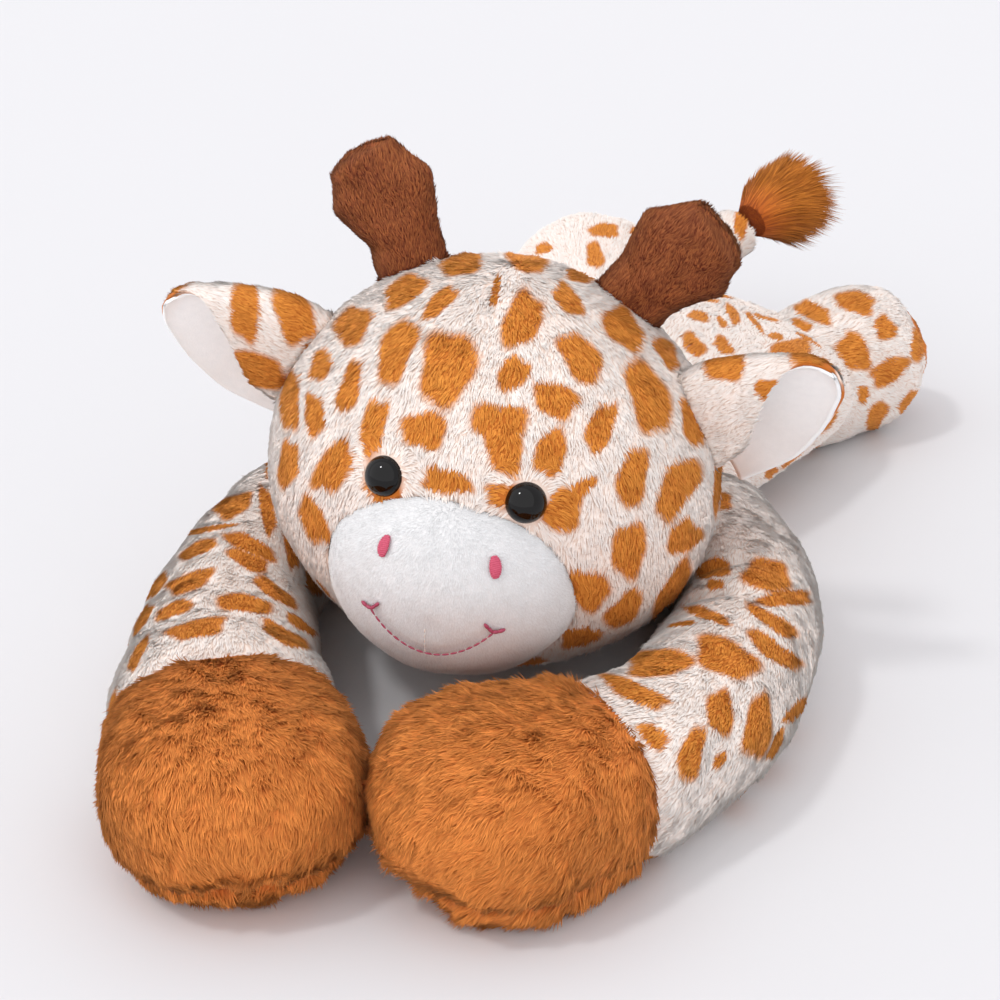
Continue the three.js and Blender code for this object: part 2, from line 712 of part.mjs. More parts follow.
const bodyForm = {
  path: bodyStations.map(({ back, height }) => vector(0, back, lying(height / 2))),
  girths: bodyStations.map(({ halfWidth, height }) => [halfWidth, height / 2]),
  rings: 6,
  sides: 14,
  startRound: bodyRound,
  endRound: bodyRound,
  squareness: bodySquareness,
};

// A limb's shape turned about the upright line through its root.
function swung(form, root, degrees, growth) {
  const away = stuffedForm(form, -growth).translate(root.clone().negate().toArray());
  return away.rotate([0, 0, degrees]).translate(root.toArray());
}

function buildBody() {
  const hindSweeps = hindLegs.flatMap(({ form, outward }) => [0, 0.5, 1].map((share) => (
    swung(form, form.path[1], outward * share * hindLegSwing, seamGap)
  )));
  const tailSweeps = [-1, -0.5, 0, 0.5, 1].map((share) => (
    swung(tailForm(), tailStops[0], share * tailSwing, swingGap)
  ));
  const sockets = [
    neckSocket,
    ...forelegs.map(({ form }) => socketBall(forelegRadius + swingGap, 2, form.path[1])),
    ...hindLegs.map(({ form }) => socketBall(hindLegRadius + swingGap, 2, form.path[1])),
    socketBall(tailRadius + swingGap, 1, tailStops[0]),
    ...forelegs.map(({ form }) => stuffedForm(form, -seamGap)),
    ...hindSweeps,
    ...tailSweeps,
  ];
  const cover = cut(stuffedForm(bodyForm), stuffedForm(bodyForm, plush), ...sockets, underFloor);
  addPiece(toy, 'body_cover', cover, 'spottedPlush');
  const names = { pouch: 'body_bead_pouch', beads: 'body_beads' };
  const pocket = addWeighted(toy, names, bodyForm, vector(0, bodyPouchBack, 0), bodyPouch, 0);
  const filling = cut(stuffedForm(bodyForm, plush + seamGap), ...sockets, pocket);
  addPiece(toy, 'body_filling', filling, 'stuffing');
}

function buildForelegs() {
  const sweeps = [headSweep(), ...neckSweep()];
  for (const { name, form } of forelegs) {
    const route = new THREE.CatmullRomCurve3(form.path, false, 'centripetal');
    const whole = route.getLength();
    const seam = route.getPointAt((whole - hoofLength) / whole);
    const ahead = route.getTangentAt((whole - hoofLength) / whole).setZ(0).normalize();
    const shell = cut(stuffedForm(form), stuffedForm(form, plush), ...sweeps, underFloor);
    const hoof = cut(shell, halfSpace(seam.clone().addScaledVector(ahead, seamGap), ahead));
    const sleeve = cut(shell, halfSpace(seam, ahead.clone().negate()));
    addPiece(toy, `${name}_foreleg_cover`, sleeve, 'spottedPlush');
    const soleTop = halfSpace(vector(0, 0, soleHeight), up);
    const topBottom = halfSpace(vector(0, 0, soleHeight - seamGap), up.clone().negate());
    addPiece(toy, `${name}_hoof_top`, cut(hoof, soleTop), 'brownPlush');
    addPiece(toy, `${name}_hoof_sole`, cut(hoof, topBottom), 'brownPlush');
    const middle = form.path.at(-2);
    const turn = radToDeg(Math.atan2(ahead.y, ahead.x)) - 90;
    const names = { pouch: `${name}_hoof_pouch`, beads: `${name}_hoof_beads` };
    const pocket = addWeighted(toy, names, form, middle, hoofPouch, turn);
    const filling = stuffedForm(form, plush + seamGap);
    addPiece(toy, `${name}_foreleg_filling`, cut(filling, pocket, ...sweeps), 'stuffing');
  }
}

function buildHindLegs() {
  for (const { name, form } of hindLegs) {
    const [, root, foot, end] = form.path;
    const ahead = foot.clone().sub(root).setZ(0).normalize();
    const seam = end.clone().addScaledVector(ahead, -hindPadLength);
    const shell = cut(stuffedForm(form), stuffedForm(form, plush), underFloor);
    const sleeve = cut(shell, halfSpace(seam, ahead.clone().negate()));
    addPiece(toy, `${name}_hind_leg_cover`, sleeve, 'spottedPlush');
    const pad = cut(shell, halfSpace(seam.addScaledVector(ahead, seamGap), ahead));
    addPiece(toy, `${name}_hind_pad`, pad, 'brownPlush');
    const turn = radToDeg(Math.atan2(ahead.y, ahead.x)) - 90;
    const names = { pouch: `${name}_foot_pouch`, beads: `${name}_foot_beads` };
    const pocket = addWeighted(toy, names, form, foot, footPouch, turn);
    addPiece(toy, `${name}_hind_leg_filling`, cut(stuffedForm(form, plush + seamGap), pocket), 'stuffing');
  }
}

function buildTail() {
  const form = tailForm();
  const end = tailStops.at(-1);
  const ahead = end.clone().sub(tailStops.at(-2)).normalize();
  const seam = end.clone().addScaledVector(ahead, -tailRadius);
  const closed = halfSpace(seam, ahead.clone().negate());
  addPiece(toy, 'tail_cover', cut(stuffedForm(form), stuffedForm(form, plush), closed), 'spottedPlush');
  addPiece(toy, 'tail_filling', cut(stuffedForm(form, plush + seamGap), closed), 'stuffing');
  const start = seam.clone().addScaledVector(ahead, seamGap);
  const at = (share) => start.clone().addScaledVector(ahead, share * tuftLength);
  let tuft = stuffedForm({
    path: [at(0), at(0.3), at(0.7), at(1)],
    girths: [tailRadius, tuftRadius, tuftRadius, tailRadius].map((radius) => [radius, radius]),
    rings: 3,
    sides: 10,
    startRound: 2,
    endRound: tuftRadius,
  });
  const frame = frameAt(at(1), ahead, up);
  for (let i = 0; i < tuftLocks; i += 1) {
    const angle = (i / tuftLocks) * Math.PI * 2;
    const lock = new THREE.ConeGeometry(tuftLockRadius, tuftLockLength * 2, 5);
    const out = vector(Math.cos(angle), tuftLockRise, Math.sin(angle)).normalize();
    lock.applyQuaternion(new THREE.Quaternion().setFromUnitVectors(vector(0, 1, 0), out));
    const place = vector(Math.cos(angle), 0, Math.sin(angle)).multiplyScalar(tuftRadius - tuftLockRadius);
    lock.translate(place.x, -tuftLockLength, place.z);
    tuft = tuft.add(moved(solidOf(lock), frame));
  }
  addPiece(toy, 'tail_tuft', cut(tuft, halfSpace(start, ahead)), 'tuftPile');
}

buildHead();
buildEmbroidery();
buildHorns();
buildEars();
buildNeck();
buildBody();
buildForelegs();
buildHindLegs();
buildTail();

export default toy;
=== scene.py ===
"""Weighted plush giraffe: the looks of every piece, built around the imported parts.

Lengths are millimetres up to the moment a mesh is made, and metres from there on. Left and right
are the toy's own; its face looks towards -Y.
"""

from __future__ import annotations

import logging
import math
from collections.abc import Callable, Sequence
from dataclasses import dataclass, field, replace
from enum import Enum

import bmesh
import bpy
import numpy as np
from mathutils import Matrix, Vector
from mathutils.bvhtree import BVHTree

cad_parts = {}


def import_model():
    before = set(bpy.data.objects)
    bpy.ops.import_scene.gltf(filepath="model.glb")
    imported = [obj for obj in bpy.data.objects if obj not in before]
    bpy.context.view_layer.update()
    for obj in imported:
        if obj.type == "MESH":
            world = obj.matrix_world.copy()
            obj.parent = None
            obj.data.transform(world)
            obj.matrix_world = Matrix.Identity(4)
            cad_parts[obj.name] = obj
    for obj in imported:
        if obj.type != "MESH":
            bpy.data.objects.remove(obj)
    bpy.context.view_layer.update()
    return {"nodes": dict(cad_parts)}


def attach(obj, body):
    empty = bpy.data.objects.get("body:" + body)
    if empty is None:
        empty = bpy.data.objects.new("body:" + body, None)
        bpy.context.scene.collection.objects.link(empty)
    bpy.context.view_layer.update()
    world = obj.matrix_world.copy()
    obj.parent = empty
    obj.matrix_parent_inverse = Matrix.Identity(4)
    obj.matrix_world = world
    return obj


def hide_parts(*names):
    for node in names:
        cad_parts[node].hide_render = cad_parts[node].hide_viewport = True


LOG = logging.getLogger("giraffe")
MM = 0.001
UP = np.array([0.0, 0.0, 1.0])
LEVEL = np.array([1.0, 1.0, 0.0])  # times a row, what of it is level
PICTURE = 1000  # pixels along each side of the photograph
GROUND = 0.25  # the lowest that a strand lies
CUT_CLEAR = 0.3  # how far a cut reaches past the cloth that it makes room for
FLOOR_CUT = 0.5  # how far each form runs on under the floor before it is pressed flat
SEAM_GAP = 0.35  # between two cloths that are sewn together

Rows = np.ndarray
Field = Callable[[np.ndarray], np.ndarray]


class Side(Enum):
    """The toy's own left and right."""

    LEFT = 1
    RIGHT = -1

    @property
    def word(self) -> str:
        """The side's name as the parts carry it."""
        return self.name.lower()


class Cutting(Enum):
    """Which part of a mesh a cutting plane keeps."""

    AHEAD = 1
    BEHIND = -1


def unit(rows: Rows) -> Rows:
    """Rows scaled to length 1."""
    return rows / np.maximum(np.linalg.norm(rows, axis=-1, keepdims=True), 1e-9)


def across(rows: Rows, normals: Rows) -> Rows:
    """Rows without their part along the normals."""
    return rows - normals * np.sum(rows * normals, axis=-1, keepdims=True)


def smoothstep(values: np.ndarray, low: float, high: float) -> np.ndarray:
    """A smooth rise from 0 at low to 1 at high."""
    t = np.clip((values - low) / (high - low), 0.0, 1.0)
    return t * t * (3 - 2 * t)


def ridge(away: np.ndarray, width: float) -> np.ndarray:
    """A bump's height at distances from its middle, from 1 there to 0, where width is its half width."""
    return np.exp(-((away / width) ** 2))


def distance_to(line: Rows, rows: Rows) -> np.ndarray:
    """How far each row is from the nearest of a line's points."""
    return np.min(np.linalg.norm(rows[:, None] - line[None], axis=2), axis=1)


def lengths_along(points: Rows) -> np.ndarray:
    """How far along a line each of its points is."""
    return np.concatenate([[0], np.cumsum(np.linalg.norm(np.diff(points, axis=0), axis=1))])


def all_along(way: Sequence[float]) -> Field:
    """A comb that points the same way everywhere."""
    return lambda rows: np.tile(way, (len(rows), 1))


def turn_matrix(axis: Sequence[float], degrees: float) -> np.ndarray:
    """A rotation about an axis through the origin, as 3 by 3 numbers."""
    return np.array(Matrix.Rotation(math.radians(degrees), 3, Vector(axis)))


def heading(azimuth: float, elevation: float) -> np.ndarray:
    """A direction: azimuth from straight ahead towards the toy's left, and elevation, in degrees."""
    turn, rise = math.radians(azimuth), math.radians(elevation)
    return np.array([math.sin(turn) * math.cos(rise), -math.cos(turn) * math.cos(rise), math.sin(rise)])


def lumps(rows: Rows, height: float, size: float, seed: int) -> np.ndarray:
    """A smooth uneven field, whose bumps are about height millimetres high and size millimetres across."""
    draw = np.random.default_rng(seed)
    total = np.zeros(len(rows))
    waves = 7
    shortest, longest = 0.7, 1.6  # of the waves, in times the bumps' size
    for _ in range(waves):
        direction = unit(draw.normal(size=3))
        pitch = size * draw.uniform(shortest, longest)
        total += np.sin(rows @ direction * (2 * math.pi / pitch) + draw.uniform(0, 2 * math.pi))
    return height * (total / math.sqrt(waves))


def to_linear(colour: str) -> tuple[float, float, float, float]:
    """An sRGB hex colour as linear red, green, blue and alpha."""
    parts = [int(colour[i : i + 2], 16) / 255 for i in (1, 3, 5)]
    red, green, blue = (c / 12.92 if c <= 0.04045 else ((c + 0.055) / 1.055) ** 2.4 for c in parts)
    return red, green, blue, 1.0


def add(tree: bpy.types.NodeTree, kind: str, settings: dict | None = None, inputs: dict | None = None):
    """Add a node, set its properties, and fill or link its inputs.

    Args:
        tree: The node tree that takes it.
        kind: The node's type name.
        settings: Properties to set on it.
        inputs: Values or sockets, keyed by input name or number.

    Returns:
        The new node.
    """
    node = tree.nodes.new(kind)
    for name, value in (settings or {}).items():
        setattr(node, name, value)
    for key, value in (inputs or {}).items():
        if isinstance(value, bpy.types.NodeSocket):
            tree.links.new(value, node.inputs[key])
        else:
            node.inputs[key].default_value = value
    return node


@dataclass(frozen=True)
class View:
    """The photograph's viewpoint, worked out from it: a long lens, a little above and to one side."""

    azimuth: float = 23.0
    elevation: float = 28.0
    distance: float = 900.0
    lens: float = 79.0
    sensor: float = 36.0
    aim: tuple[float, float, float] = (0.0, -175.0, 100.0)
    aim_right: float = 2.05
    aim_down: float = 17.2
    clip: tuple[float, float] = (0.05, 30.0)  # metres

    def axes(self) -> tuple[np.ndarray, np.ndarray, np.ndarray]:
        """The picture's right, its up, and the direction towards the camera."""
        back = heading(self.azimuth, self.elevation)
        right = unit(np.cross(UP, back))
        return right, np.cross(back, right), back

    def place(self) -> np.ndarray:
        """Where the camera stands, in millimetres."""
        right, upwards, back = self.axes()
        return np.array(self.aim) + self.distance * back + self.aim_right * right - self.aim_down * upwards

    def pixels_each(self) -> float:
        """Pixels in the photograph for each unit of tangent."""
        return self.lens / self.sensor * PICTURE

    def project(self, rows: Rows) -> tuple[np.ndarray, np.ndarray, np.ndarray]:
        """Pixel x, pixel y and depth of each point."""
        right, upwards, back = self.axes()
        away = rows - self.place()
        depth = -(away @ back)
        scale = self.pixels_each() / depth
        return PICTURE / 2 + (away @ right) * scale, PICTURE / 2 - (away @ upwards) * scale, depth

    def ray(self, x: float, y: float) -> np.ndarray:
        """The direction from the camera through a pixel."""
        right, upwards, back = self.axes()
        half, scale = PICTURE / 2, self.pixels_each()
        return unit((x - half) / scale * right - (y - half) / scale * upwards - back)

    def make(self) -> None:
        """Create the camera."""
        right, upwards, back = self.axes()
        data = bpy.data.cameras.new("camera")
        data.lens = self.lens
        data.sensor_width = self.sensor
        data.clip_start, data.clip_end = self.clip
        camera = bpy.data.objects.new("camera", data)
        bpy.context.scene.collection.objects.link(camera)
        basis = Matrix([right, upwards, back]).transposed().to_4x4()
        camera.matrix_world = Matrix.Translation(Vector(self.place()) * MM) @ basis
        bpy.context.scene.camera = camera


VIEW = View()


def catmull(points: Rows, shares: np.ndarray) -> Rows:
    """Places on a smooth curve through points, spaced by the square roots of their distances."""
    points = np.asarray(points, float)
    padded = np.vstack([2 * points[0] - points[1], points, 2 * points[-1] - points[-2]])
    scaled = np.clip(shares, 0, 1) * (len(points) - 1)
    start = np.minimum(scaled.astype(int), len(points) - 2)
    t = (scaled - start)[:, None]
    p0, p1, p2, p3 = (padded[start + i] for i in range(4))
    steps = np.sqrt(np.linalg.norm(np.diff(padded, axis=0), axis=1))
    d0, d1, d2 = (steps[start + i][:, None] for i in range(3))
    tiny = 1e-4
    d1 = np.where(d1 < tiny, 1.0, d1)
    d0, d2 = np.where(d0 < tiny, d1, d0), np.where(d2 < tiny, d1, d2)
    slope1 = ((p1 - p0) / d0 - (p2 - p0) / (d0 + d1) + (p2 - p1) / d1) * d1
    slope2 = ((p2 - p1) / d1 - (p3 - p1) / (d1 + d2) + (p3 - p2) / d2) * d1
    t2, t3 = t * t, t * t * t
    return ((2 * t3 - 3 * t2 + 1) * p1 + (t3 - 2 * t2 + t) * slope1
            + (3 * t2 - 2 * t3) * p2 + (t3 - t2) * slope2)


@dataclass
class Solid:
    """Corners in millimetres and faces that index them."""

    corners: Rows
    faces: list[tuple[int, ...]]

    @classmethod
    def of_rings(cls, first: Rows, rings: Rows, last: Rows) -> Solid:
        """A closed form: a first point, rings of corners and a last point.

        Args:
            first: The point that closes the first ring.
            rings: The corners, by ring, by side and by axis.
            last: The point that closes the last ring.

        Returns:
            The closed solid.
        """
        count, sides = rings.shape[:2]
        end = count * sides + 1
        faces: list[tuple[int, ...]] = []
        for k in range(sides):
            n = (k + 1) % sides
            faces += [(0, 1 + k, 1 + n), (end, end - sides + n, end - sides + k)]
            for low in range(1, end - sides, sides):
                high = low + sides
                faces.append((low + k, high + k, high + n, low + n))
        return cls(np.vstack([first, rings.reshape(-1, 3), last]), faces)

    def tree(self) -> BVHTree:
        """A search tree over its faces, in millimetres."""
        return BVHTree.FromPolygons([Vector(p) for p in self.corners], self.faces)

    def moved(self, turn: np.ndarray, place: np.ndarray) -> Solid:
        """A copy turned and then moved."""
        return Solid(self.corners @ np.asarray(turn).T + place, self.faces)

    def make(self, name: str) -> bpy.types.Object:
        """A smooth-shaded mesh object in metres."""
        mesh = bpy.data.meshes.new(name)
        mesh.from_pydata(self.corners * MM, [], self.faces)
        mesh.shade_smooth()
        thing = bpy.data.objects.new(name, mesh)
        bpy.context.scene.collection.objects.link(thing)
        return thing


@dataclass(frozen=True)
class Tube:
    """A stuffed tube along a path, closed by round ends, as the toy's limbs and body are.

    A girth is a half width, a half height and how square the section is, where 2 is an ellipse.
    """

    path: Sequence[Sequence[float]]
    girths: Sequence[tuple[float, ...]]
    start_round: float
    end_round: float
    rings: int = 72
    sides: int = 56
    cap_rings: int = 10

    def line(self, distances: np.ndarray, inset: float = 0.0) -> tuple[Rows, Rows, Rows]:
        """Centres, directions and girths at distances from the start of the inset form."""
        shares = np.linspace(0, 1, 400)
        dense = catmull(self.path, shares)
        at = np.interp(distances + inset, lengths_along(dense), shares)
        centres = catmull(self.path, at)
        nudge = 1e-3
        before, after = np.maximum(at - nudge, 0), np.minimum(at + nudge, 1)
        ahead = unit(catmull(self.path, after) - catmull(self.path, before))
        return centres, ahead, catmull([(*girth, 2.0)[:3] for girth in self.girths], at)

    def length(self) -> float:
        """The path's length."""
        dense = catmull(self.path, np.linspace(0, 1, 400))
        return float(np.linalg.norm(np.diff(dense, axis=0), axis=1).sum())

    def solid(self, inset: float = 0.0) -> Solid:
        """The form with every surface drawn in by inset."""
        length = self.length() - 2 * inset
        least = 0.1
        rounds = max(self.start_round - inset, least), max(self.end_round - inset, least)
        cap = 1 - np.cos(np.linspace(0, math.pi / 2, self.cap_rings))
        middle = np.linspace(rounds[0], length - rounds[1], self.rings + 1)[1:-1]
        distances = np.concatenate([rounds[0] * cap, middle, length - rounds[1] * cap[::-1]])
        centres, ahead, girths = self.line(distances, inset)
        sideways = unit(np.cross(ahead, UP))
        upwards = np.cross(sideways, ahead)
        ends = [np.sqrt(np.clip(1 - np.clip(1 - d / r, 0, None) ** 2, 0, None))
                for d, r in ((distances, rounds[0]), (length - distances, rounds[1]))]
        share = np.minimum(*ends)[:, None]
        angle = (np.arange(self.sides) + 0.5) / self.sides * 2 * math.pi
        power = 2 / girths[1:-1, 2:]
        wide, high = (np.sign(v) * np.abs(v) ** power for v in (np.cos(angle), np.sin(angle)))
        half = (girths[:, :2] - inset) * share
        rows = (centres[1:-1, None] + sideways[1:-1, None] * (wide * half[1:-1, :1])[..., None]
                + upwards[1:-1, None] * (high * half[1:-1, 1:2])[..., None])
        return Solid.of_rings(centres[:1], rows, centres[-1:])

    def turned(self, degrees: float) -> Tube:
        """A copy turned about the upright line through its root, the path's second point."""
        root = np.array(self.path[1])
        turn = turn_matrix(UP, degrees)
        return replace(self, path=[turn @ (np.array(p) - root) + root for p in self.path])

    def along(self, rows: Rows) -> Rows:
        """The path's direction at the point of it nearest each row."""
        centres, ahead, _ = self.line(np.linspace(0, self.length(), 80))
        nearest = np.argmin(np.linalg.norm(rows[:, None] - centres[None], axis=2), axis=1)
        return ahead[nearest]


def circle(radius: float, height: float, sides: int) -> Rows:
    """Corners of a ring about Y, at a height along it."""
    turns = np.arange(sides) / sides * 2 * math.pi
    return np.column_stack([radius * np.cos(turns), np.full(sides, height), radius * np.sin(turns)])


def revolved(profile: Sequence[tuple[float, float]], sides: int) -> Solid:
    """A form turned about Y, from a profile of radii and heights that starts and ends on Y."""
    rings = np.array([circle(radius, height, sides) for radius, height in profile[1:-1]])
    return Solid.of_rings(np.array([[0, profile[0][1], 0]]), rings, np.array([[0, profile[-1][1], 0]]))


def ball(radius: Field, detail: int = 5) -> Solid:
    """A ball about the origin whose radius depends on the direction."""
    shape = bmesh.new()
    bmesh.ops.create_icosphere(shape, subdivisions=detail, radius=1.0)
    corners = unit(np.array([v.co for v in shape.verts]))
    faces = [tuple(v.index for v in f.verts) for f in shape.faces]
    shape.free()
    return Solid(corners * radius(corners)[:, None], faces)


def ellipsoid_radius(rows: Rows, a: float, b: float, c: float) -> np.ndarray:
    """The radius of an ellipsoid along each direction."""
    return 1 / np.linalg.norm(rows / np.array([a, b, c]), axis=-1)


def applied(thing: bpy.types.Object) -> None:
    """Replace an object's mesh by its evaluated one and remove its modifiers."""
    graph = bpy.context.evaluated_depsgraph_get()
    graph.update()
    old = thing.data
    thing.data = bpy.data.meshes.new_from_object(thing.evaluated_get(graph))
    thing.data.name = thing.name
    thing.modifiers.clear()
    bpy.data.meshes.remove(old)


def carve(thing: bpy.types.Object, tools: Sequence[Solid]) -> None:
    """Cut solids out of an object's mesh."""
    cutters = [tool.make("cutter") for tool in tools]
    for cutter in cutters:
        change = thing.modifiers.new("cut", "BOOLEAN")
        change.operation = "DIFFERENCE"
        change.solver = "MANIFOLD"
        change.object = cutter
    applied(thing)
    for cutter in cutters:
        bpy.data.meshes.remove(cutter.data)


def keep_side(thing: bpy.types.Object, place: Rows, normal: Rows, side: Cutting) -> None:
    """Cut a mesh by a plane, keep one side of it and close the cut."""
    shape = bmesh.new()
    shape.from_mesh(thing.data)
    everything = [*shape.verts, *shape.edges, *shape.faces]
    bmesh.ops.bisect_plane(
        shape, geom=everything, plane_co=Vector(place) * MM, plane_no=Vector(normal),
        clear_outer=side is Cutting.BEHIND, clear_inner=side is Cutting.AHEAD,
    )
    open_edges = [e for e in shape.edges if e.is_boundary]
    bmesh.ops.holes_fill(shape, edges=open_edges, sides=0)
    bmesh.ops.recalc_face_normals(shape, faces=shape.faces)
    shape.to_mesh(thing.data)
    shape.free()


def split(thing: bpy.types.Object, place: Rows, normal: Rows, name: str) -> bpy.types.Object:
    """Cut a mesh in two by a plane: the object keeps what is behind it, and the new one the rest."""
    other = thing.copy()
    other.data = thing.data.copy()
    other.name = other.data.name = name
    bpy.context.scene.collection.objects.link(other)
    keep_side(thing, place, normal, Cutting.BEHIND)
    keep_side(other, np.asarray(place) + SEAM_GAP * np.asarray(normal), normal, Cutting.AHEAD)
    return other


def mesh_rows(mesh: bpy.types.Mesh, part: str = "co") -> Rows:
    """A mesh's corner places in millimetres, or its corner normals."""
    rows = np.zeros(len(mesh.vertices) * 3, np.float32)
    source = mesh.vertices if part == "co" else mesh.vertex_normals
    source.foreach_get("co" if part == "co" else "vector", rows)
    rows = rows.reshape(-1, 3).astype(float)
    return rows / MM if part == "co" else rows


def set_rows(mesh: bpy.types.Mesh, rows: Rows) -> None:
    """Move a mesh's corners to places in millimetres."""
    mesh.vertices.foreach_set("co", (rows * MM).astype(np.float32).ravel())
    mesh.update()


def store(mesh: bpy.types.Mesh, name: str, values: np.ndarray, domain: str = "POINT") -> None:
    """Keep a number or a vector for each point or face of a mesh, under a name."""
    kind, part = ("FLOAT", "value") if values.ndim == 1 else ("FLOAT_VECTOR", "vector")
    old = mesh.attributes.get(name)
    if old:
        mesh.attributes.remove(old)
    mesh.attributes.new(name, kind, domain).data.foreach_set(part, values.astype(np.float32).ravel())


def stored(mesh: bpy.types.Mesh, name: str) -> Rows:
    """The vectors kept for each point of a mesh under a name."""
    rows = np.zeros(len(mesh.vertices) * 3, np.float32)
    mesh.attributes[name].data.foreach_get("vector", rows)
    return rows.reshape(-1, 3).astype(float)


# Spots of the print that the photograph shows, read from enlarged views of it: the middle in
# pixels of the photograph, the length and width in its pixels, and the tilt of the length in
# degrees above its right.
PHOTOGRAPHED_SPOTS: tuple[tuple[int, int, int, int, int], ...] = (
    # Head
    (370, 278, 26, 15, 35), (404, 291, 46, 26, 35), (439, 303, 43, 18, 45), (462, 263, 43, 24, 20),
    (526, 261, 44, 21, -20), (543, 248, 17, 11, 20), (580, 276, 29, 13, -15), (495, 292, 32, 8, 82),
    (352, 326, 41, 32, 60), (396, 352, 69, 32, 70), (447, 369, 77, 54, 75), (522, 321, 58, 37, 65),
    (569, 300, 38, 21, -50), (624, 329, 51, 31, -50), (667, 353, 37, 17, -60),
    (581, 359, 57, 34, -55), (513, 375, 37, 28, 50), (556, 401, 46, 34, -20),
    (320, 366, 32, 20, 75), (349, 388, 54, 20, 75), (290, 402, 61, 19, 88), (314, 416, 44, 19, -85),
    (373, 428, 57, 24, 78), (424, 431, 46, 37, 0), (499, 424, 58, 40, -5), (505, 451, 46, 37, -85),
    (551, 453, 46, 31, 75), (601, 429, 52, 26, 68), (649, 398, 77, 38, -70),
    (692, 424, 51, 18, -75), (288, 465, 47, 20, 82), (333, 468, 55, 32, 60),
    (447, 483, 51, 24, -10), (633, 479, 61, 29, 78), (678, 489, 69, 32, 60), (718, 482, 64, 9, 85),
    (267, 511, 49, 14, -80), (314, 522, 51, 24, -65), (505, 496, 40, 26, 0), (563, 511, 46, 37, 60),
    (583, 489, 34, 14, 40), (629, 551, 55, 34, 80), (684, 538, 38, 29, 45), (291, 549, 43, 12, -78),
    (588, 591, 43, 38, -20), (624, 610, 47, 24, 45), (672, 592, 70, 21, 62),
    (314, 580, 34, 15, -70), (580, 638, 40, 18, 10), (268, 467, 24, 6, 85),
    # Leg on the left of the picture
    (233, 506, 40, 21, 25), (211, 529, 48, 6, 10), (250, 546, 57, 16, -25), (172, 549, 28, 8, 38),
    (198, 549, 41, 13, 25), (248, 561, 45, 16, -25), (156, 587, 34, 10, 50), (156, 573, 26, 4, 45),
    (190, 582, 50, 18, 22), (275, 592, 52, 14, -35), (244, 604, 58, 18, -8), (174, 610, 40, 14, 22),
    (143, 619, 34, 9, 60), (197, 629, 60, 19, 12), (285, 636, 53, 15, -28), (301, 625, 36, 10, -35),
    (138, 654, 40, 10, 62), (332, 658, 17, 7, -55),
    # Leg on the right of the picture
    (767, 576, 48, 33, -10), (785, 599, 54, 16, 5), (773, 622, 61, 14, -32),
    (774, 651, 65, 18, -35), (726, 658, 67, 36, -25), (659, 663, 65, 28, 5), (642, 638, 65, 11, 8),
    (707, 615, 48, 11, -20), (713, 569, 36, 19, 10), (682, 624, 27, 5, 8), (578, 663, 48, 12, 3),
    (634, 692, 71, 20, -25), (720, 713, 45, 27, -82), (758, 728, 65, 28, 83),
    (691, 755, 57, 23, 75), (719, 761, 19, 11, 55), (652, 737, 34, 20, -40), (796, 711, 34, 12, 45),
    (815, 682, 44, 8, 80), (776, 745, 34, 9, 65), (715, 585, 17, 11, 0),
    # Tail, back, hind leg and the ear on the right
    (742, 218, 40, 14, 85), (814, 312, 38, 18, -25), (856, 302, 40, 22, -15),
    (886, 328, 26, 20, -60), (919, 345, 35, 15, 85), (855, 352, 41, 29, -62),
    (890, 371, 42, 23, 32), (908, 403, 30, 12, 60), (877, 416, 33, 17, 62), (864, 395, 19, 11, 80),
    (774, 308, 25, 9, 40), (699, 316, 21, 11, -15), (733, 314, 23, 10, -60), (722, 322, 14, 7, -50),
    (694, 344, 29, 17, -50), (724, 345, 23, 13, -45), (755, 322, 29, 5, -50),
    (802, 325, 21, 11, -25), (776, 336, 15, 7, -10), (840, 402, 34, 13, 85), (818, 458, 16, 11, 10),
    (796, 453, 24, 12, 50), (771, 472, 15, 10, 50), (833, 452, 13, 5, 70), (794, 470, 14, 5, 75),
    (726, 366, 42, 29, 8), (792, 348, 42, 18, 5), (767, 389, 23, 20, 0),
    # Ear on the left
    (245, 309, 64, 29, 90), (293, 313, 64, 36, -68), (176, 285, 26, 16, 20), (305, 350, 15, 6, 60),
    # Back, seen past the horn
    (604, 230, 30, 14, 0), (595, 255, 27, 17, -75), (626, 221, 14, 7, -20),
)


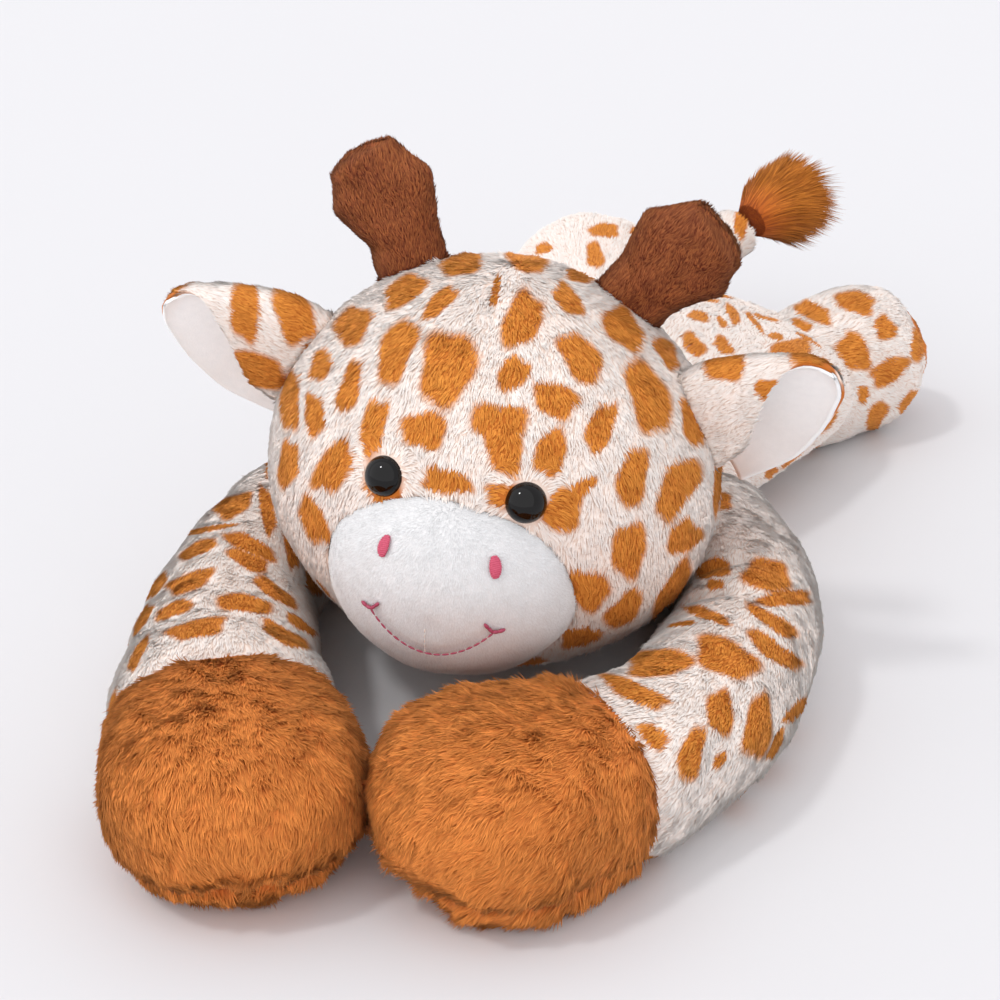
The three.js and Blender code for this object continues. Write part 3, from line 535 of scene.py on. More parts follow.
@dataclass
class Print:
    """The spotted print: the photograph's spots where it shows the cloth, and a like scatter elsewhere."""

    corner: float = 2.7  # how square a spot is, where 2 is an ellipse
    softness: float = 0.16
    waves: tuple[tuple[float, int, float], ...] = ((0.09, 3, 1.0), (0.06, 5, 2.3))  # of a spot's outline
    turned_away: tuple[float, float] = (-0.35, -0.15)  # where the photographed print fades out
    gap: float = 5.0
    seed: int = 11
    sizes: tuple[float, float] = (7.0, 13.0)
    narrow: tuple[float, float] = (0.55, 0.9)
    reach: float = 1.6
    stand_off: float = 3.0  # a surface this near in front of a place doesn't hide it
    trees: dict[str, BVHTree] = field(default_factory=dict)
    seen: dict[str, list[tuple[int, ...]]] = field(default_factory=dict)
    middles: list[tuple[np.ndarray, float]] = field(default_factory=list)
    scattered: dict[str, list[tuple[np.ndarray, ...]]] = field(default_factory=dict)

    def lay(self, surfaces: dict[str, bpy.types.Object], hiding: dict[str, bpy.types.Object]) -> None:
        """Work out every spot's place on the printed surfaces.

        Args:
            surfaces: The printed pieces by name.
            hiding: Other pieces, which can stand in front of them.
        """
        for name, thing in {**surfaces, **hiding}.items():
            faces = [tuple(p.vertices) for p in thing.data.polygons]
            self.trees[name] = BVHTree.FromPolygons([Vector(p) for p in mesh_rows(thing.data)], faces)
        self.seen = {name: [] for name in surfaces}
        for spot in PHOTOGRAPHED_SPOTS:
            name, place = self.first_met(VIEW.ray(*spot[:2]), tuple(surfaces))
            if name:
                depth = VIEW.project(place[None])[2][0]
                self.seen[name].append(spot)
                self.middles.append((place, spot[2] / 2 * depth / VIEW.pixels_each()))
        draw = np.random.default_rng(self.seed)
        for name, thing in surfaces.items():
            self.scattered[name] = self.scatter(thing, draw)

    def first_met(self, ray: np.ndarray, allowed: Sequence[str]) -> tuple[str, np.ndarray]:
        """The piece that a ray from the camera meets first, among those allowed, and where."""
        best, found, at = math.inf, "", np.zeros(3)
        for name in allowed:
            place, _, _, away = self.trees[name].ray_cast(Vector(VIEW.place()), Vector(ray))
            if place is not None and away < best:
                best, found, at = away, name, np.array(place)
        return found, at

    def shows(self, place: np.ndarray) -> bool:
        """Whether the photograph's camera sees a place on a surface."""
        away = place - VIEW.place()
        reach = np.linalg.norm(away)
        start, ray = Vector(VIEW.place()), Vector(unit(away))
        hits = (tree.ray_cast(start, ray, reach - self.stand_off)[0] for tree in self.trees.values())
        return all(hit is None for hit in hits)

    def scatter(self, thing: bpy.types.Object, draw: np.random.Generator) -> list[tuple[np.ndarray, ...]]:
        """Spots for the parts of one piece that the photograph doesn't show."""
        rows, normals = mesh_rows(thing.data), mesh_rows(thing.data, "normals")
        spots = []
        for i in draw.permutation(len(rows)):
            size = draw.uniform(*self.sizes)
            if any(np.linalg.norm(rows[i] - m) < size + r + self.gap for m, r in self.middles):
                continue
            if self.shows(rows[i] + normals[i]):
                continue
            lean = unit(across(draw.normal(size=(1, 3)), normals[i : i + 1]))[0]
            self.middles.append((rows[i], size))
            spots.append((rows[i], normals[i], lean, np.array([size, size * draw.uniform(*self.narrow)])))
        return spots

    def edge(self, u: np.ndarray, v: np.ndarray, order: int) -> np.ndarray:
        """How far inside a spot each place is, from 0 outside to 1 inside, with an uneven round outline."""
        around = np.arctan2(v, u)
        reach = (np.abs(u) ** self.corner + np.abs(v) ** self.corner) ** (1 / self.corner)
        uneven = sum(high * np.sin(count * around + shift * order) for high, count, shift in self.waves)
        return 1 - smoothstep(reach * (1 + uneven), 1 - self.softness, 1 + self.softness)

    def strength(self, name: str, rows: Rows, normals: Rows) -> np.ndarray:
        """The print's brown at places on one piece, from 0 to 1."""
        x, y, _ = VIEW.project(rows)
        facing = unit(VIEW.place() - rows)
        front = smoothstep(np.sum(facing * normals, axis=1), *self.turned_away)
        brown = np.zeros(len(rows))
        for order, (px, py, length, width, tilt) in enumerate(self.seen[name]):
            near = np.flatnonzero(np.hypot(x - px, y - py) < length)
            c, s = math.cos(math.radians(tilt)), math.sin(math.radians(tilt))
            dx, dy = x[near] - px, py - y[near]
            inside = self.edge((dx * c + dy * s) * 2 / length, (dy * c - dx * s) * 2 / width, order)
            brown[near] = np.maximum(brown[near], inside * front[near])
        for order, (middle, normal, lean, half) in enumerate(self.scattered[name]):
            away = rows - middle
            near = np.flatnonzero(np.linalg.norm(away, axis=1) < self.reach * half[0])
            u = away[near] @ lean / half[0]
            v = away[near] @ np.cross(normal, lean) / half[1]
            brown[near] = np.maximum(brown[near], self.edge(u, v, order))
        return brown


@dataclass(frozen=True)
class Pile:
    """How the pile of a cloth grows: sizes in millimetres, strands for each square millimetre."""

    length: float
    width: float
    density: float
    lift: float = 0.55  # how far a strand stands off, where 1 is as far as it lies along
    sink: float = 2.4
    swirl: float = 0.35
    swirl_size: float = 9.0
    stray: float = 0.25
    bends: int = 1
    droop: float = 0.0


SHORT_PILE = Pile(length=3.6, width=0.9, density=1.38, lift=0.26, sink=1.1,
                  swirl=0.55, swirl_size=6.5, stray=0.16)
HOOF_PILE = Pile(length=6.5, width=0.95, density=2.7, lift=0.32, sink=2.4,
                 swirl=0.75, swirl_size=6.5, stray=0.2)
HORN_PILE = Pile(length=3.2, width=0.8, density=2.4, lift=0.3, sink=1.0,
                 swirl=0.5, swirl_size=6.0, stray=0.2)
VELBOA_PILE = Pile(length=1.2, width=0.5, density=2.8, lift=0.6, sink=0.6, swirl=0.4, swirl_size=5.0)
EAR_PILE = Pile(length=3.2, width=0.9, density=2.0, lift=0.28, sink=1.2,
                swirl=0.4, swirl_size=7.0, stray=0.18)
TUFT_PILE = Pile(length=25.0, width=1.2, density=3.2, lift=0.1, sink=12.0,
                 swirl=0.55, swirl_size=6.0, stray=0.12, bends=3, droop=0.2)
STRAND_SIDES = 3


def pile_tree() -> bpy.types.NodeTree:
    """Geometry nodes that grow strands on a surface, lying the way its comb attribute points."""
    swirl_gain = 4.0  # brings the noise's narrow range to about -1 to 1
    pressed_flat = -0.7  # how much of the disorder's upright part is taken away
    clump_gain, clump_base = 1.3, 0.35
    shortest, longest = 0.65, 1.1
    tree = bpy.data.node_groups.new("pile strands", "GeometryNodeTree")
    sockets = (("Geometry", "Geometry"), ("Density", "Float"), ("Seed", "Int"), ("Length", "Float"),
               ("Width", "Float"), ("Lift", "Float"), ("Swirl", "Float"), ("Swirl Size", "Float"),
               ("Stray", "Float"), ("Bends", "Int"), ("Material", "Material"))
    for name, kind in sockets:
        tree.interface.new_socket(name, in_out="INPUT", socket_type="NodeSocket" + kind)
    tree.interface.new_socket("Geometry", in_out="OUTPUT", socket_type="NodeSocketGeometry")
    given = add(tree, "NodeGroupInput").outputs
    bare = add(tree, "GeometryNodeInputNamedAttribute", {"data_type": "FLOAT"}, {"Name": "pile"})
    density = add(tree, "ShaderNodeMath", {"operation": "MULTIPLY"},
                  {0: given["Density"], 1: bare.outputs["Attribute"]})
    roots = add(tree, "GeometryNodeDistributePointsOnFaces", {"distribute_method": "RANDOM"},
                {"Mesh": given["Geometry"], "Density": density.outputs[0], "Seed": given["Seed"]})
    place = add(tree, "GeometryNodeInputPosition")
    comb = add(tree, "GeometryNodeInputNamedAttribute", {"data_type": "FLOAT_VECTOR"}, {"Name": "comb"})
    scale = add(tree, "ShaderNodeMath", {"operation": "DIVIDE"}, {0: 1.0, 1: given["Swirl Size"]})
    noise = add(tree, "ShaderNodeTexNoise", {"noise_dimensions": "3D"},
                {"Vector": place.outputs[0], "Scale": scale.outputs[0], "Detail": 2.0})
    centred = add(tree, "ShaderNodeVectorMath", {"operation": "SUBTRACT"},
                  {0: noise.outputs["Color"], 1: (0.5, 0.5, 0.5)})
    swirl_scale = add(tree, "ShaderNodeMath", {"operation": "MULTIPLY"}, {0: given["Swirl"], 1: swirl_gain})
    swirl = add(tree, "ShaderNodeVectorMath", {"operation": "SCALE"},
                {0: centred.outputs[0], "Scale": swirl_scale.outputs[0]})
    scatter = add(tree, "FunctionNodeRandomValue", {"data_type": "FLOAT_VECTOR"},
                  {0: (-1.0, -1.0, -1.0), 1: (1.0, 1.0, 1.0), "Seed": 3})
    stray = add(tree, "ShaderNodeVectorMath", {"operation": "SCALE"},
                {0: scatter.outputs[0], "Scale": given["Stray"]})
    lifted = add(tree, "ShaderNodeVectorMath", {"operation": "SCALE"},
                 {0: roots.outputs["Normal"], "Scale": given["Lift"]})
    lean = add(tree, "ShaderNodeVectorMath", {"operation": "ADD"},
               {0: comb.outputs["Attribute"], 1: lifted.outputs[0]})
    disorder = add(tree, "ShaderNodeVectorMath", {"operation": "ADD"},
                   {0: swirl.outputs[0], 1: stray.outputs[0]})
    upright = add(tree, "ShaderNodeVectorMath", {"operation": "PROJECT"},
                  {0: disorder.outputs[0], 1: roots.outputs["Normal"]})
    pressed = add(tree, "ShaderNodeVectorMath", {"operation": "MULTIPLY_ADD"},
                  {0: upright.outputs[0], 1: (pressed_flat,) * 3, 2: disorder.outputs[0]})
    way = add(tree, "ShaderNodeVectorMath", {"operation": "ADD"}, {0: lean.outputs[0], 1: pressed.outputs[0]})
    pointed = add(tree, "FunctionNodeAlignRotationToVector", {"axis": "Z"}, {"Vector": way.outputs[0]})
    inwards = add(tree, "ShaderNodeVectorMath", {"operation": "SCALE"},
                  {0: roots.outputs["Normal"], "Scale": -1.0})
    turn = add(tree, "FunctionNodeAlignRotationToVector", {"axis": "X", "pivot_axis": "Z"},
               {"Rotation": pointed.outputs["Rotation"], "Vector": inwards.outputs[0]})
    clump = add(tree, "ShaderNodeMath", {"operation": "MULTIPLY_ADD"},
                {0: noise.outputs[0], 1: clump_gain, 2: clump_base})
    long = add(tree, "FunctionNodeRandomValue", {"data_type": "FLOAT"}, {2: shortest, 3: longest, "Seed": 5})
    grown = add(tree, "ShaderNodeMath", {"operation": "MULTIPLY"}, {0: clump.outputs[0], 1: long.outputs[1]})
    length = add(tree, "ShaderNodeMath", {"operation": "MULTIPLY"}, {0: given["Length"], 1: grown.outputs[0]})
    size = add(tree, "ShaderNodeCombineXYZ",
               inputs={0: given["Width"], 1: given["Width"], 2: length.outputs[0]})
    strand = add(tree, "GeometryNodeMeshCone", {"fill_type": "NONE"}, {
        "Vertices": STRAND_SIDES, "Side Segments": given["Bends"], "Radius Top": 0.0, "Radius Bottom": 0.5,
        "Depth": 1.0})
    copies = add(tree, "GeometryNodeInstanceOnPoints", inputs={
        "Points": roots.outputs["Points"], "Instance": strand.outputs["Mesh"],
        "Rotation": turn.outputs["Rotation"], "Scale": size.outputs[0]})
    facing = add(tree, "GeometryNodeStoreNamedAttribute", {"data_type": "FLOAT_VECTOR", "domain": "INSTANCE"},
                 {"Geometry": copies.outputs[0], "Name": "root_normal", "Value": roots.outputs["Normal"]})
    rooted = add(tree, "GeometryNodeStoreNamedAttribute", {"data_type": "FLOAT_VECTOR", "domain": "INSTANCE"},
                 {"Geometry": facing.outputs[0], "Name": "root", "Value": place.outputs[0]})
    real = add(tree, "GeometryNodeRealizeInstances", inputs={"Geometry": rooted.outputs[0]})
    painted = add(tree, "GeometryNodeSetMaterial",
                  inputs={"Geometry": real.outputs[0], "Material": given["Material"]})
    add(tree, "NodeGroupOutput", inputs={"Geometry": painted.outputs[0]})
    return tree


def set_inputs(change: bpy.types.Modifier, values: dict[str, object]) -> None:
    """Fill a geometry nodes modifier's inputs, found by their names and set by their identifiers."""
    for item in change.node_group.interface.items_tree:
        if getattr(item, "in_out", "") == "INPUT" and item.name in values:
            change[item.identifier] = values[item.name]


@dataclass
class Piece:
    """One visible piece: its backing, the cloth's pile, and what it stands for."""

    name: str
    body: str
    slot: str
    nodes: tuple[str, ...]
    thing: bpy.types.Object
    cloth: bpy.types.Material
    strands: bpy.types.Material | None = None
    pile: Pile | None = None
    comb: Field | None = None
    bare: Field | None = None
    uncut: BVHTree | None = None
    fill: float = 0.9
    parts: int = 1
    hangs: bool = False

    def prepare(self) -> None:
        """Press the piece flat on the floor, and mark where pile grows and which way it lies."""
        mesh = self.thing.data
        rows = mesh_rows(mesh)
        middles = np.array([p.center for p in mesh.polygons]) / MM
        rest, soft, sag, sag_top = 1.0, 0.8, 2.5, 28.0
        lowered = rows[:, 2] - sag * (1 - smoothstep(rows[:, 2], 0.0, sag_top))
        rows[:, 2] = rest + soft * np.logaddexp(0, (lowered - rest) / soft)
        set_rows(mesh, rows)
        if not self.pile:
            return
        grows = np.ones(len(middles))
        if self.uncut:
            near = [self.uncut.find_nearest(Vector(m))[3] for m in middles]
            on_cut = 0.6  # farther than this from the uncut form, a face is a cut's wall
            grows[np.array(near) > on_cut] = 0.0
        if self.bare:
            grows *= 1 - self.bare(middles)
        store(mesh, "pile", grows, "FACE")
        normals = mesh_rows(mesh, "normals")
        way = self.comb(rows) if self.comb else np.zeros_like(rows)
        if not self.hangs:
            way = unit(across(way, normals))
        store(mesh, "comb", way)

    def finish(self, tree: bpy.types.NodeTree, spots: Print, seed: int) -> None:
        """Colour the backing, grow the pile and hand everything to its body."""
        mesh = self.thing.data
        mesh.materials.clear()
        mesh.materials.append(self.cloth)
        if self.name in spots.seen:
            store(mesh, "brown", spots.strength(self.name, mesh_rows(mesh), mesh_rows(mesh, "normals")))
        if self.pile:
            for part in range(self.parts):
                self.grow(tree, spots, seed + part, part)
        for attribute in ("pile", "comb"):
            if mesh.attributes.get(attribute):
                mesh.attributes.remove(mesh.attributes[attribute])
        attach(self.thing, self.body)
        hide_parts(*self.nodes)
        LOG.info("%s: %d faces", self.name, len(mesh.polygons))

    def grow(self, tree: bpy.types.NodeTree, spots: Print, seed: int, part: int) -> None:
        """Grow one share of the strands as a mesh of its own.

        Args:
            tree: The geometry nodes that place the strands.
            spots: The print, which colours them from their roots.
            seed: The seed of their places.
            part: Which share it is, from 0.
        """
        name = f"{self.name}_pile" + (f"_{part + 1}" if self.parts > 1 else "")
        grower = self.thing.copy()
        grower.name = name
        bpy.context.scene.collection.objects.link(grower)
        change = grower.modifiers.new("pile", "NODES")
        change.node_group = tree
        set_inputs(change, {
            "Density": self.pile.density / self.parts / MM**2, "Seed": seed, "Length": self.pile.length * MM,
            "Width": self.pile.width * MM, "Lift": self.pile.lift, "Swirl": self.pile.swirl,
            "Swirl Size": self.pile.swirl_size * MM, "Stray": self.pile.stray, "Bends": self.pile.bends,
            "Material": self.strands})
        graph = bpy.context.evaluated_depsgraph_get()
        graph.update()
        mesh = bpy.data.meshes.new_from_object(grower.evaluated_get(graph))
        bpy.data.objects.remove(grower)
        mesh.name = name
        self.dress_strands(mesh, spots, seed)
        hair = bpy.data.objects.new(name, mesh)
        bpy.context.scene.collection.objects.link(hair)
        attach(hair, self.body)
        LOG.info("%s: %d faces", name, len(mesh.polygons))

    def dress_strands(self, mesh: bpy.types.Mesh, spots: Print, seed: int) -> None:
        """Bend the strands, keep them off the floor, and give each its colour, shade and map place."""
        corners = STRAND_SIDES * self.pile.bends + 1
        rows = mesh_rows(mesh)
        count = len(rows) // corners
        roots = stored(mesh, "root") / MM
        normals = unit(stored(mesh, "root_normal"))
        away = rows - roots
        reach = np.linalg.norm(away, axis=1)
        bend = self.pile.droop * (reach / self.pile.length) ** 2 * self.pile.length
        rows = rows - bend[:, None] * UP
        rows[:, 2] = np.maximum(rows[:, 2], GROUND)
        set_rows(mesh, rows)
        grouped = reach.reshape(count, corners)
        tips = rows.reshape(count, corners, 3)[np.arange(count), grouped.argmax(axis=1)]
        starts = roots.reshape(count, corners, 3)[:, 0]
        facing = normals.reshape(count, corners, 3)[:, 0]
        if self.name in spots.seen:
            along = 0.6  # where on its length a strand takes the print's colour
            brown = spots.strength(self.name, (1 - along) * starts + along * tips, facing)
            store(mesh, "brown", np.repeat(brown, corners))
        draw = np.random.default_rng(seed)
        store(mesh, "shade", np.repeat(draw.random(count), corners))
        store(mesh, "tip", np.clip(reach / self.pile.length, 0, 1))
        own = 0.05  # the strand's own share in how it is lit, beside its cloth's
        soft = unit((1 - own) * normals + own * mesh_rows(mesh, "normals"))
        mesh.normals_split_custom_set_from_vertices(soft)
        self.lay_map(mesh, count)
        for attribute in ("root", "root_normal"):
            mesh.attributes.remove(mesh.attributes[attribute])

    @staticmethod
    def lay_map(mesh: bpy.types.Mesh, count: int) -> None:
        """Give each strand a small square of its own in the mesh's map."""
        columns = math.ceil(math.sqrt(max(count, 1)))
        loops = len(mesh.loops) // max(count, 1)
        cell = np.arange(count)
        low = np.stack([cell % columns, cell // columns], axis=1) / columns
        near, middle, far = 0.2, 0.5, 0.8  # of the square, so that no colour comes in from the next one
        outline = [[near, near], [far, near], [middle, far], [near, far]]
        shape = np.tile(outline, (math.ceil(loops / len(outline)), 1))[:loops]
        places = (low[:, None] + shape[None] / columns).astype(np.float32)
        mesh.uv_layers.new(name="OFBake").data.foreach_set("uv", places.ravel())


@dataclass(frozen=True)
class Frame:
    """Axes and an origin, which carry rows from a piece's own place to the toy."""

    turn: np.ndarray
    place: np.ndarray

    def out(self, rows: Rows) -> Rows:
        """Rows of this frame as the toy has them."""
        return rows @ self.turn.T + self.place

    def back(self, rows: Rows) -> Rows:
        """Rows of the toy as this frame has them."""
        return (rows - self.place) @ self.turn

    def within(self, outer: Frame) -> Frame:
        """This frame, which was given inside another one, in the toy's own axes."""
        return Frame(outer.turn @ self.turn, outer.out(self.place))


def frame_at(place: Rows, along: Rows, facing: Rows) -> Frame:
    """A frame with its Y along one direction and its Z as near as it can be to another."""
    y = unit(np.asarray(along, float))
    x = unit(np.cross(y, facing))
    return Frame(np.column_stack([x, y, np.cross(x, y)]), np.asarray(place, float))


def swell(thing: bpy.types.Object, outwards: Field) -> None:
    """Move an object's surface outwards by a field of millimetres."""
    rows = mesh_rows(thing.data)
    set_rows(thing.data, rows + mesh_rows(thing.data, "normals") * outwards(rows)[:, None])


def start_material(
    name: str, roughness: float
) -> tuple[bpy.types.Material, bpy.types.NodeTree, bpy.types.Node]:
    """A new material with a plain shader.

    Args:
        name: The material's name.
        roughness: The shader's roughness.

    Returns:
        The material, its node tree and its shader node.
    """
    material = bpy.data.materials.new(name)
    material.use_nodes = True
    tree = material.node_tree
    tree.nodes.clear()
    shader = add(tree, "ShaderNodeBsdfPrincipled", inputs={"Roughness": roughness})
    add(tree, "ShaderNodeOutputMaterial", inputs={"Surface": shader.outputs[0]})
    return material, tree, shader


def mottling(tree: bpy.types.NodeTree, size: float, detail: float = 3.0) -> bpy.types.NodeSocket:
    """Noise fixed to the piece, whose patches are size millimetres across."""
    place = add(tree, "ShaderNodeTexCoord").outputs["Object"]
    noise = add(tree, "ShaderNodeTexNoise", inputs={
        "Vector": place, "Scale": 1 / (size * MM), "Detail": detail})
    return noise.outputs[0]


COLOURS = {"data_type": "RGBA"}  # what a mix node mixes


@dataclass(frozen=True)
class PileFinish:
    """The colours of a pile cloth, and the painted shade that tints its strands' roots and its whole backing
    darker.
    """

    name: str
    light: str
    dark: str
    spot_light: str = ""
    spot_dark: str = ""
    # Painted shade: a tint multiplied in at the strands' roots and over the backing, standing for the shade
    # deep in the pile
    root: str = "#F0D4C4"
    root_shade_end: float = 0.7  # where the roots' painted shade ends, as a share of the strand
    roughness: float = 0.85
    patch: float = 14.0

    def make(self) -> bpy.types.Material:
        """Create the material."""
        material, tree, shader = start_material(self.name, self.roughness)
        patches = mottling(tree, self.patch)
        patchy = 0.7
        uneven = add(tree, "ShaderNodeMath", {"operation": "MULTIPLY_ADD"},
                     {0: patches, 1: patchy, 2: -patchy / 2})
        own = add(tree, "ShaderNodeAttribute", {"attribute_name": "shade"})
        shade = add(tree, "ShaderNodeMath", {"operation": "ADD", "use_clamp": True},
                    {0: own.outputs["Fac"], 1: uneven.outputs[0]})
        colour = add(tree, "ShaderNodeMix", COLOURS, {
            0: shade.outputs[0], 6: to_linear(self.dark), 7: to_linear(self.light)}).outputs[2]
        if self.spot_light:
            spot = add(tree, "ShaderNodeMix", COLOURS, {
                0: shade.outputs[0], 6: to_linear(self.spot_dark), 7: to_linear(self.spot_light)}).outputs[2]
            brown = add(tree, "ShaderNodeAttribute", {"attribute_name": "brown"})
            colour = add(tree, "ShaderNodeMix", COLOURS,
                         {0: brown.outputs["Fac"], 6: colour, 7: spot}).outputs[2]
        # Painted shade: the root tint fades in towards each strand's root and covers the whole backing, which
        # has no tip attribute. With no shade attribute either, the backing also takes the dark colour, as
        # painted shade between the strands.
        tip = add(tree, "ShaderNodeAttribute", {"attribute_name": "tip"})
        sunk = add(tree, "ShaderNodeMapRange", inputs={
            "Value": tip.outputs["Fac"], "From Min": 0.0, "From Max": self.root_shade_end, "To Min": 1.0,
            "To Max": 0.0})
        deep = add(tree, "ShaderNodeMix", COLOURS | {"blend_type": "MULTIPLY"},
                   {0: sunk.outputs[0], 6: colour, 7: to_linear(self.root)})
        tree.links.new(deep.outputs[2], shader.inputs["Base Color"])
        return material


@dataclass(frozen=True)
class PlainFinish:
    """A thread, a woven cloth, a plastic or glass, in one colour with a slight unevenness."""

    name: str
    light: str
    dark: str
    roughness: float
    grain: float = 3.0
    ior: float = 1.5
    bump: float = 0.0
    rise: float = 0.3
    weave: float = 0.8

    def make(self) -> bpy.types.Material:
        """Create the material."""
        material, tree, shader = start_material(self.name, self.roughness)
        colour = add(tree, "ShaderNodeMix", COLOURS, {
            0: mottling(tree, self.grain), 6: to_linear(self.dark), 7: to_linear(self.light)})
        tree.links.new(colour.outputs[2], shader.inputs["Base Color"])
        shader.inputs["IOR"].default_value = self.ior
        if self.bump:
            woven = mottling(tree, self.weave, detail=2.0)
            raised = add(tree, "ShaderNodeBump", inputs={
                "Strength": self.bump, "Distance": self.rise * MM, "Height": woven})
            tree.links.new(raised.outputs[0], shader.inputs["Normal"])
        return material


class Cloths:
    """Every material of the toy and its floor."""

    def __init__(self) -> None:
        """Create them."""
        # Brushed polyester plush, printed in rusty brown on cream: matt, and soft at each spot's edge; a
        # faint painted shade at its roots
        self.spotted = PileFinish(
            "spotted plush", "#FFFAF5", "#F8EBE2", "#E9983A", "#C8731E", root="#FAEEE6").make()
        # Long polyester plush, dyed orange brown: painted shade darkens its roots, so its swirls show
        self.hoof = PileFinish("brown plush", "#FA9A46", "#D07A33", root="#E2C6B0").make()
        # Short polyester plush, dyed dark brown: a close dull nap, with painted shade at its roots
        self.horn = PileFinish("horn plush", "#B06836", "#7C3D1C", root="#DDBBA8").make()
        # White polyester velboa: a pile so short that it looks like felt, with a faint painted shade at its
        # roots
        self.velboa = PileFinish("white velboa", "#F5F6F7", "#EEEFEF", root="#F8F6F6").make()
        # The ears' white lining: the same cloth with its pile pressed flat, so only a faint grain is left
        self.lining = PlainFinish("ear lining", "#FEFEFE", "#F4F5F6", 0.9, bump=0.3).make()
        # Long loose polyester pile, golden brown: painted shade darkens it towards its roots
        self.tuft = PileFinish("tuft pile", "#DC8629", "#A55A0F", root="#DDB898").make()
        # Moulded and polished black plastic: it shows its surroundings as a small sharp highlight
        self.eye = PlainFinish("black plastic", "#060505", "#040303", 0.04, ior=1.38).make()
        # Moulded white plastic, hidden inside the head
        self.washer = PlainFinish("washer plastic", "#ECEAE4", "#DEDBD4", 0.45).make()
        # Rayon embroidery thread: a slight sheen, and a fine random mottle of painted shade that stands for
        # the shade between its strands
        self.rose = PlainFinish("rose thread", "#D9607C", "#AE3552", 0.5, grain=0.9).make()
        self.dark_rose = PlainFinish("dark rose thread", "#B54A66", "#8E2C46", 0.5, grain=0.9).make()
        # Polyester sewing thread in the cream of the plush
        self.pale = PlainFinish("pale thread", "#F2E6DE", "#DCCBC0", 0.6, grain=0.9).make()
        # Woven cotton, hidden inside: matt with the rise and fall of its weave
        self.cotton = PlainFinish("pouch cotton", "#EAE5DB", "#D8D2C6", 0.95, bump=0.5).make()
        # Poured glass beads, hidden inside: glossy, and mottled at the size of a bead
        self.beads = PlainFinish("glass beads", "#DCE4E8", "#A8B4BA", 0.15, grain=2.0).make()
        # Matt paper backdrop, nearly even
        self.floor = PlainFinish("studio floor", "#DDDDDF", "#DCDCDE", 0.7, grain=400.0).make()

    def spotted_piece(self, name: str, body: str, nodes: tuple[str, ...], thing: bpy.types.Object,
                      pile: Pile = SHORT_PILE, **more) -> Piece:
        """A piece in the spotted plush."""
        return Piece(name, body, "spotted_plush", nodes, thing, self.spotted, self.spotted, pile, **more)


def stitch_tree() -> bpy.types.NodeTree:
    """Geometry nodes that lay one rounded thread at each point, by its way and size attributes."""
    tree = bpy.data.node_groups.new("stitches", "GeometryNodeTree")
    for name, kind in (("Geometry", "Geometry"), ("Material", "Material")):
        tree.interface.new_socket(name, in_out="INPUT", socket_type="NodeSocket" + kind)
    tree.interface.new_socket("Geometry", in_out="OUTPUT", socket_type="NodeSocketGeometry")
    given = add(tree, "NodeGroupInput").outputs
    way = add(tree, "GeometryNodeInputNamedAttribute", {"data_type": "FLOAT_VECTOR"}, {"Name": "way"})
    size = add(tree, "GeometryNodeInputNamedAttribute", {"data_type": "FLOAT_VECTOR"}, {"Name": "size"})
    turn = add(tree, "FunctionNodeAlignRotationToVector", {"axis": "Z"}, {"Vector": way.outputs["Attribute"]})
    thread = add(tree, "GeometryNodeMeshUVSphere", inputs={"Segments": 10, "Rings": 8, "Radius": 0.5})
    copies = add(tree, "GeometryNodeInstanceOnPoints", inputs={
        "Points": given["Geometry"], "Instance": thread.outputs["Mesh"],
        "Rotation": turn.outputs["Rotation"], "Scale": size.outputs["Attribute"]})
    real = add(tree, "GeometryNodeRealizeInstances", inputs={"Geometry": copies.outputs[0]})
    smooth = add(tree, "GeometryNodeSetShadeSmooth", inputs={"Geometry": real.outputs[0]})
    painted = add(tree, "GeometryNodeSetMaterial",
                  inputs={"Geometry": smooth.outputs[0], "Material": given["Material"]})
    add(tree, "NodeGroupOutput", inputs={"Geometry": painted.outputs[0]})
    return tree


@dataclass
class Thread:
    """Stitches laid end to end or side by side: places, directions, and lengths and widths."""

    name: str
    body: str
    slot: str
    nodes: tuple[str, ...]
    material: bpy.types.Material
    places: list[Rows] = field(default_factory=list)
    ways: list[Rows] = field(default_factory=list)
    sizes: list[tuple[float, float]] = field(default_factory=list)

    def lay(self, place: Rows, way: Rows, length: float, width: float) -> None:
        """Add one stitch."""
        self.places.append(place)
        self.ways.append(unit(way))
        self.sizes.append((length, width))

    def follow(self, points: Rows, step: float, width: float, filled: float = 1.08) -> None:
        """Add stitches along a line of points."""
        lengths = lengths_along(points)
        count = max(2, round(lengths[-1] / step))
        ends = [np.array([np.interp(i / count * lengths[-1], lengths, axis) for axis in points.T])
                for i in range(count + 1)]
        for start, end in zip(ends, ends[1:]):
            self.lay((start + end) / 2, end - start, float(np.linalg.norm(end - start)) * filled, width)

    def finish(self, tree: bpy.types.NodeTree) -> None:
        """Make the stitches into one mesh on its body."""
        thing = Solid(np.array(self.places), []).make(self.name)
        store(thing.data, "way", np.array(self.ways))
        store(thing.data, "size", np.array([(width, width, length) for length, width in self.sizes]) * MM)
        change = thing.modifiers.new("stitches", "NODES")
        change.node_group = tree
        set_inputs(change, {"Material": self.material})
        applied(thing)
        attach(thing, self.body)
        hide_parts(*self.nodes)


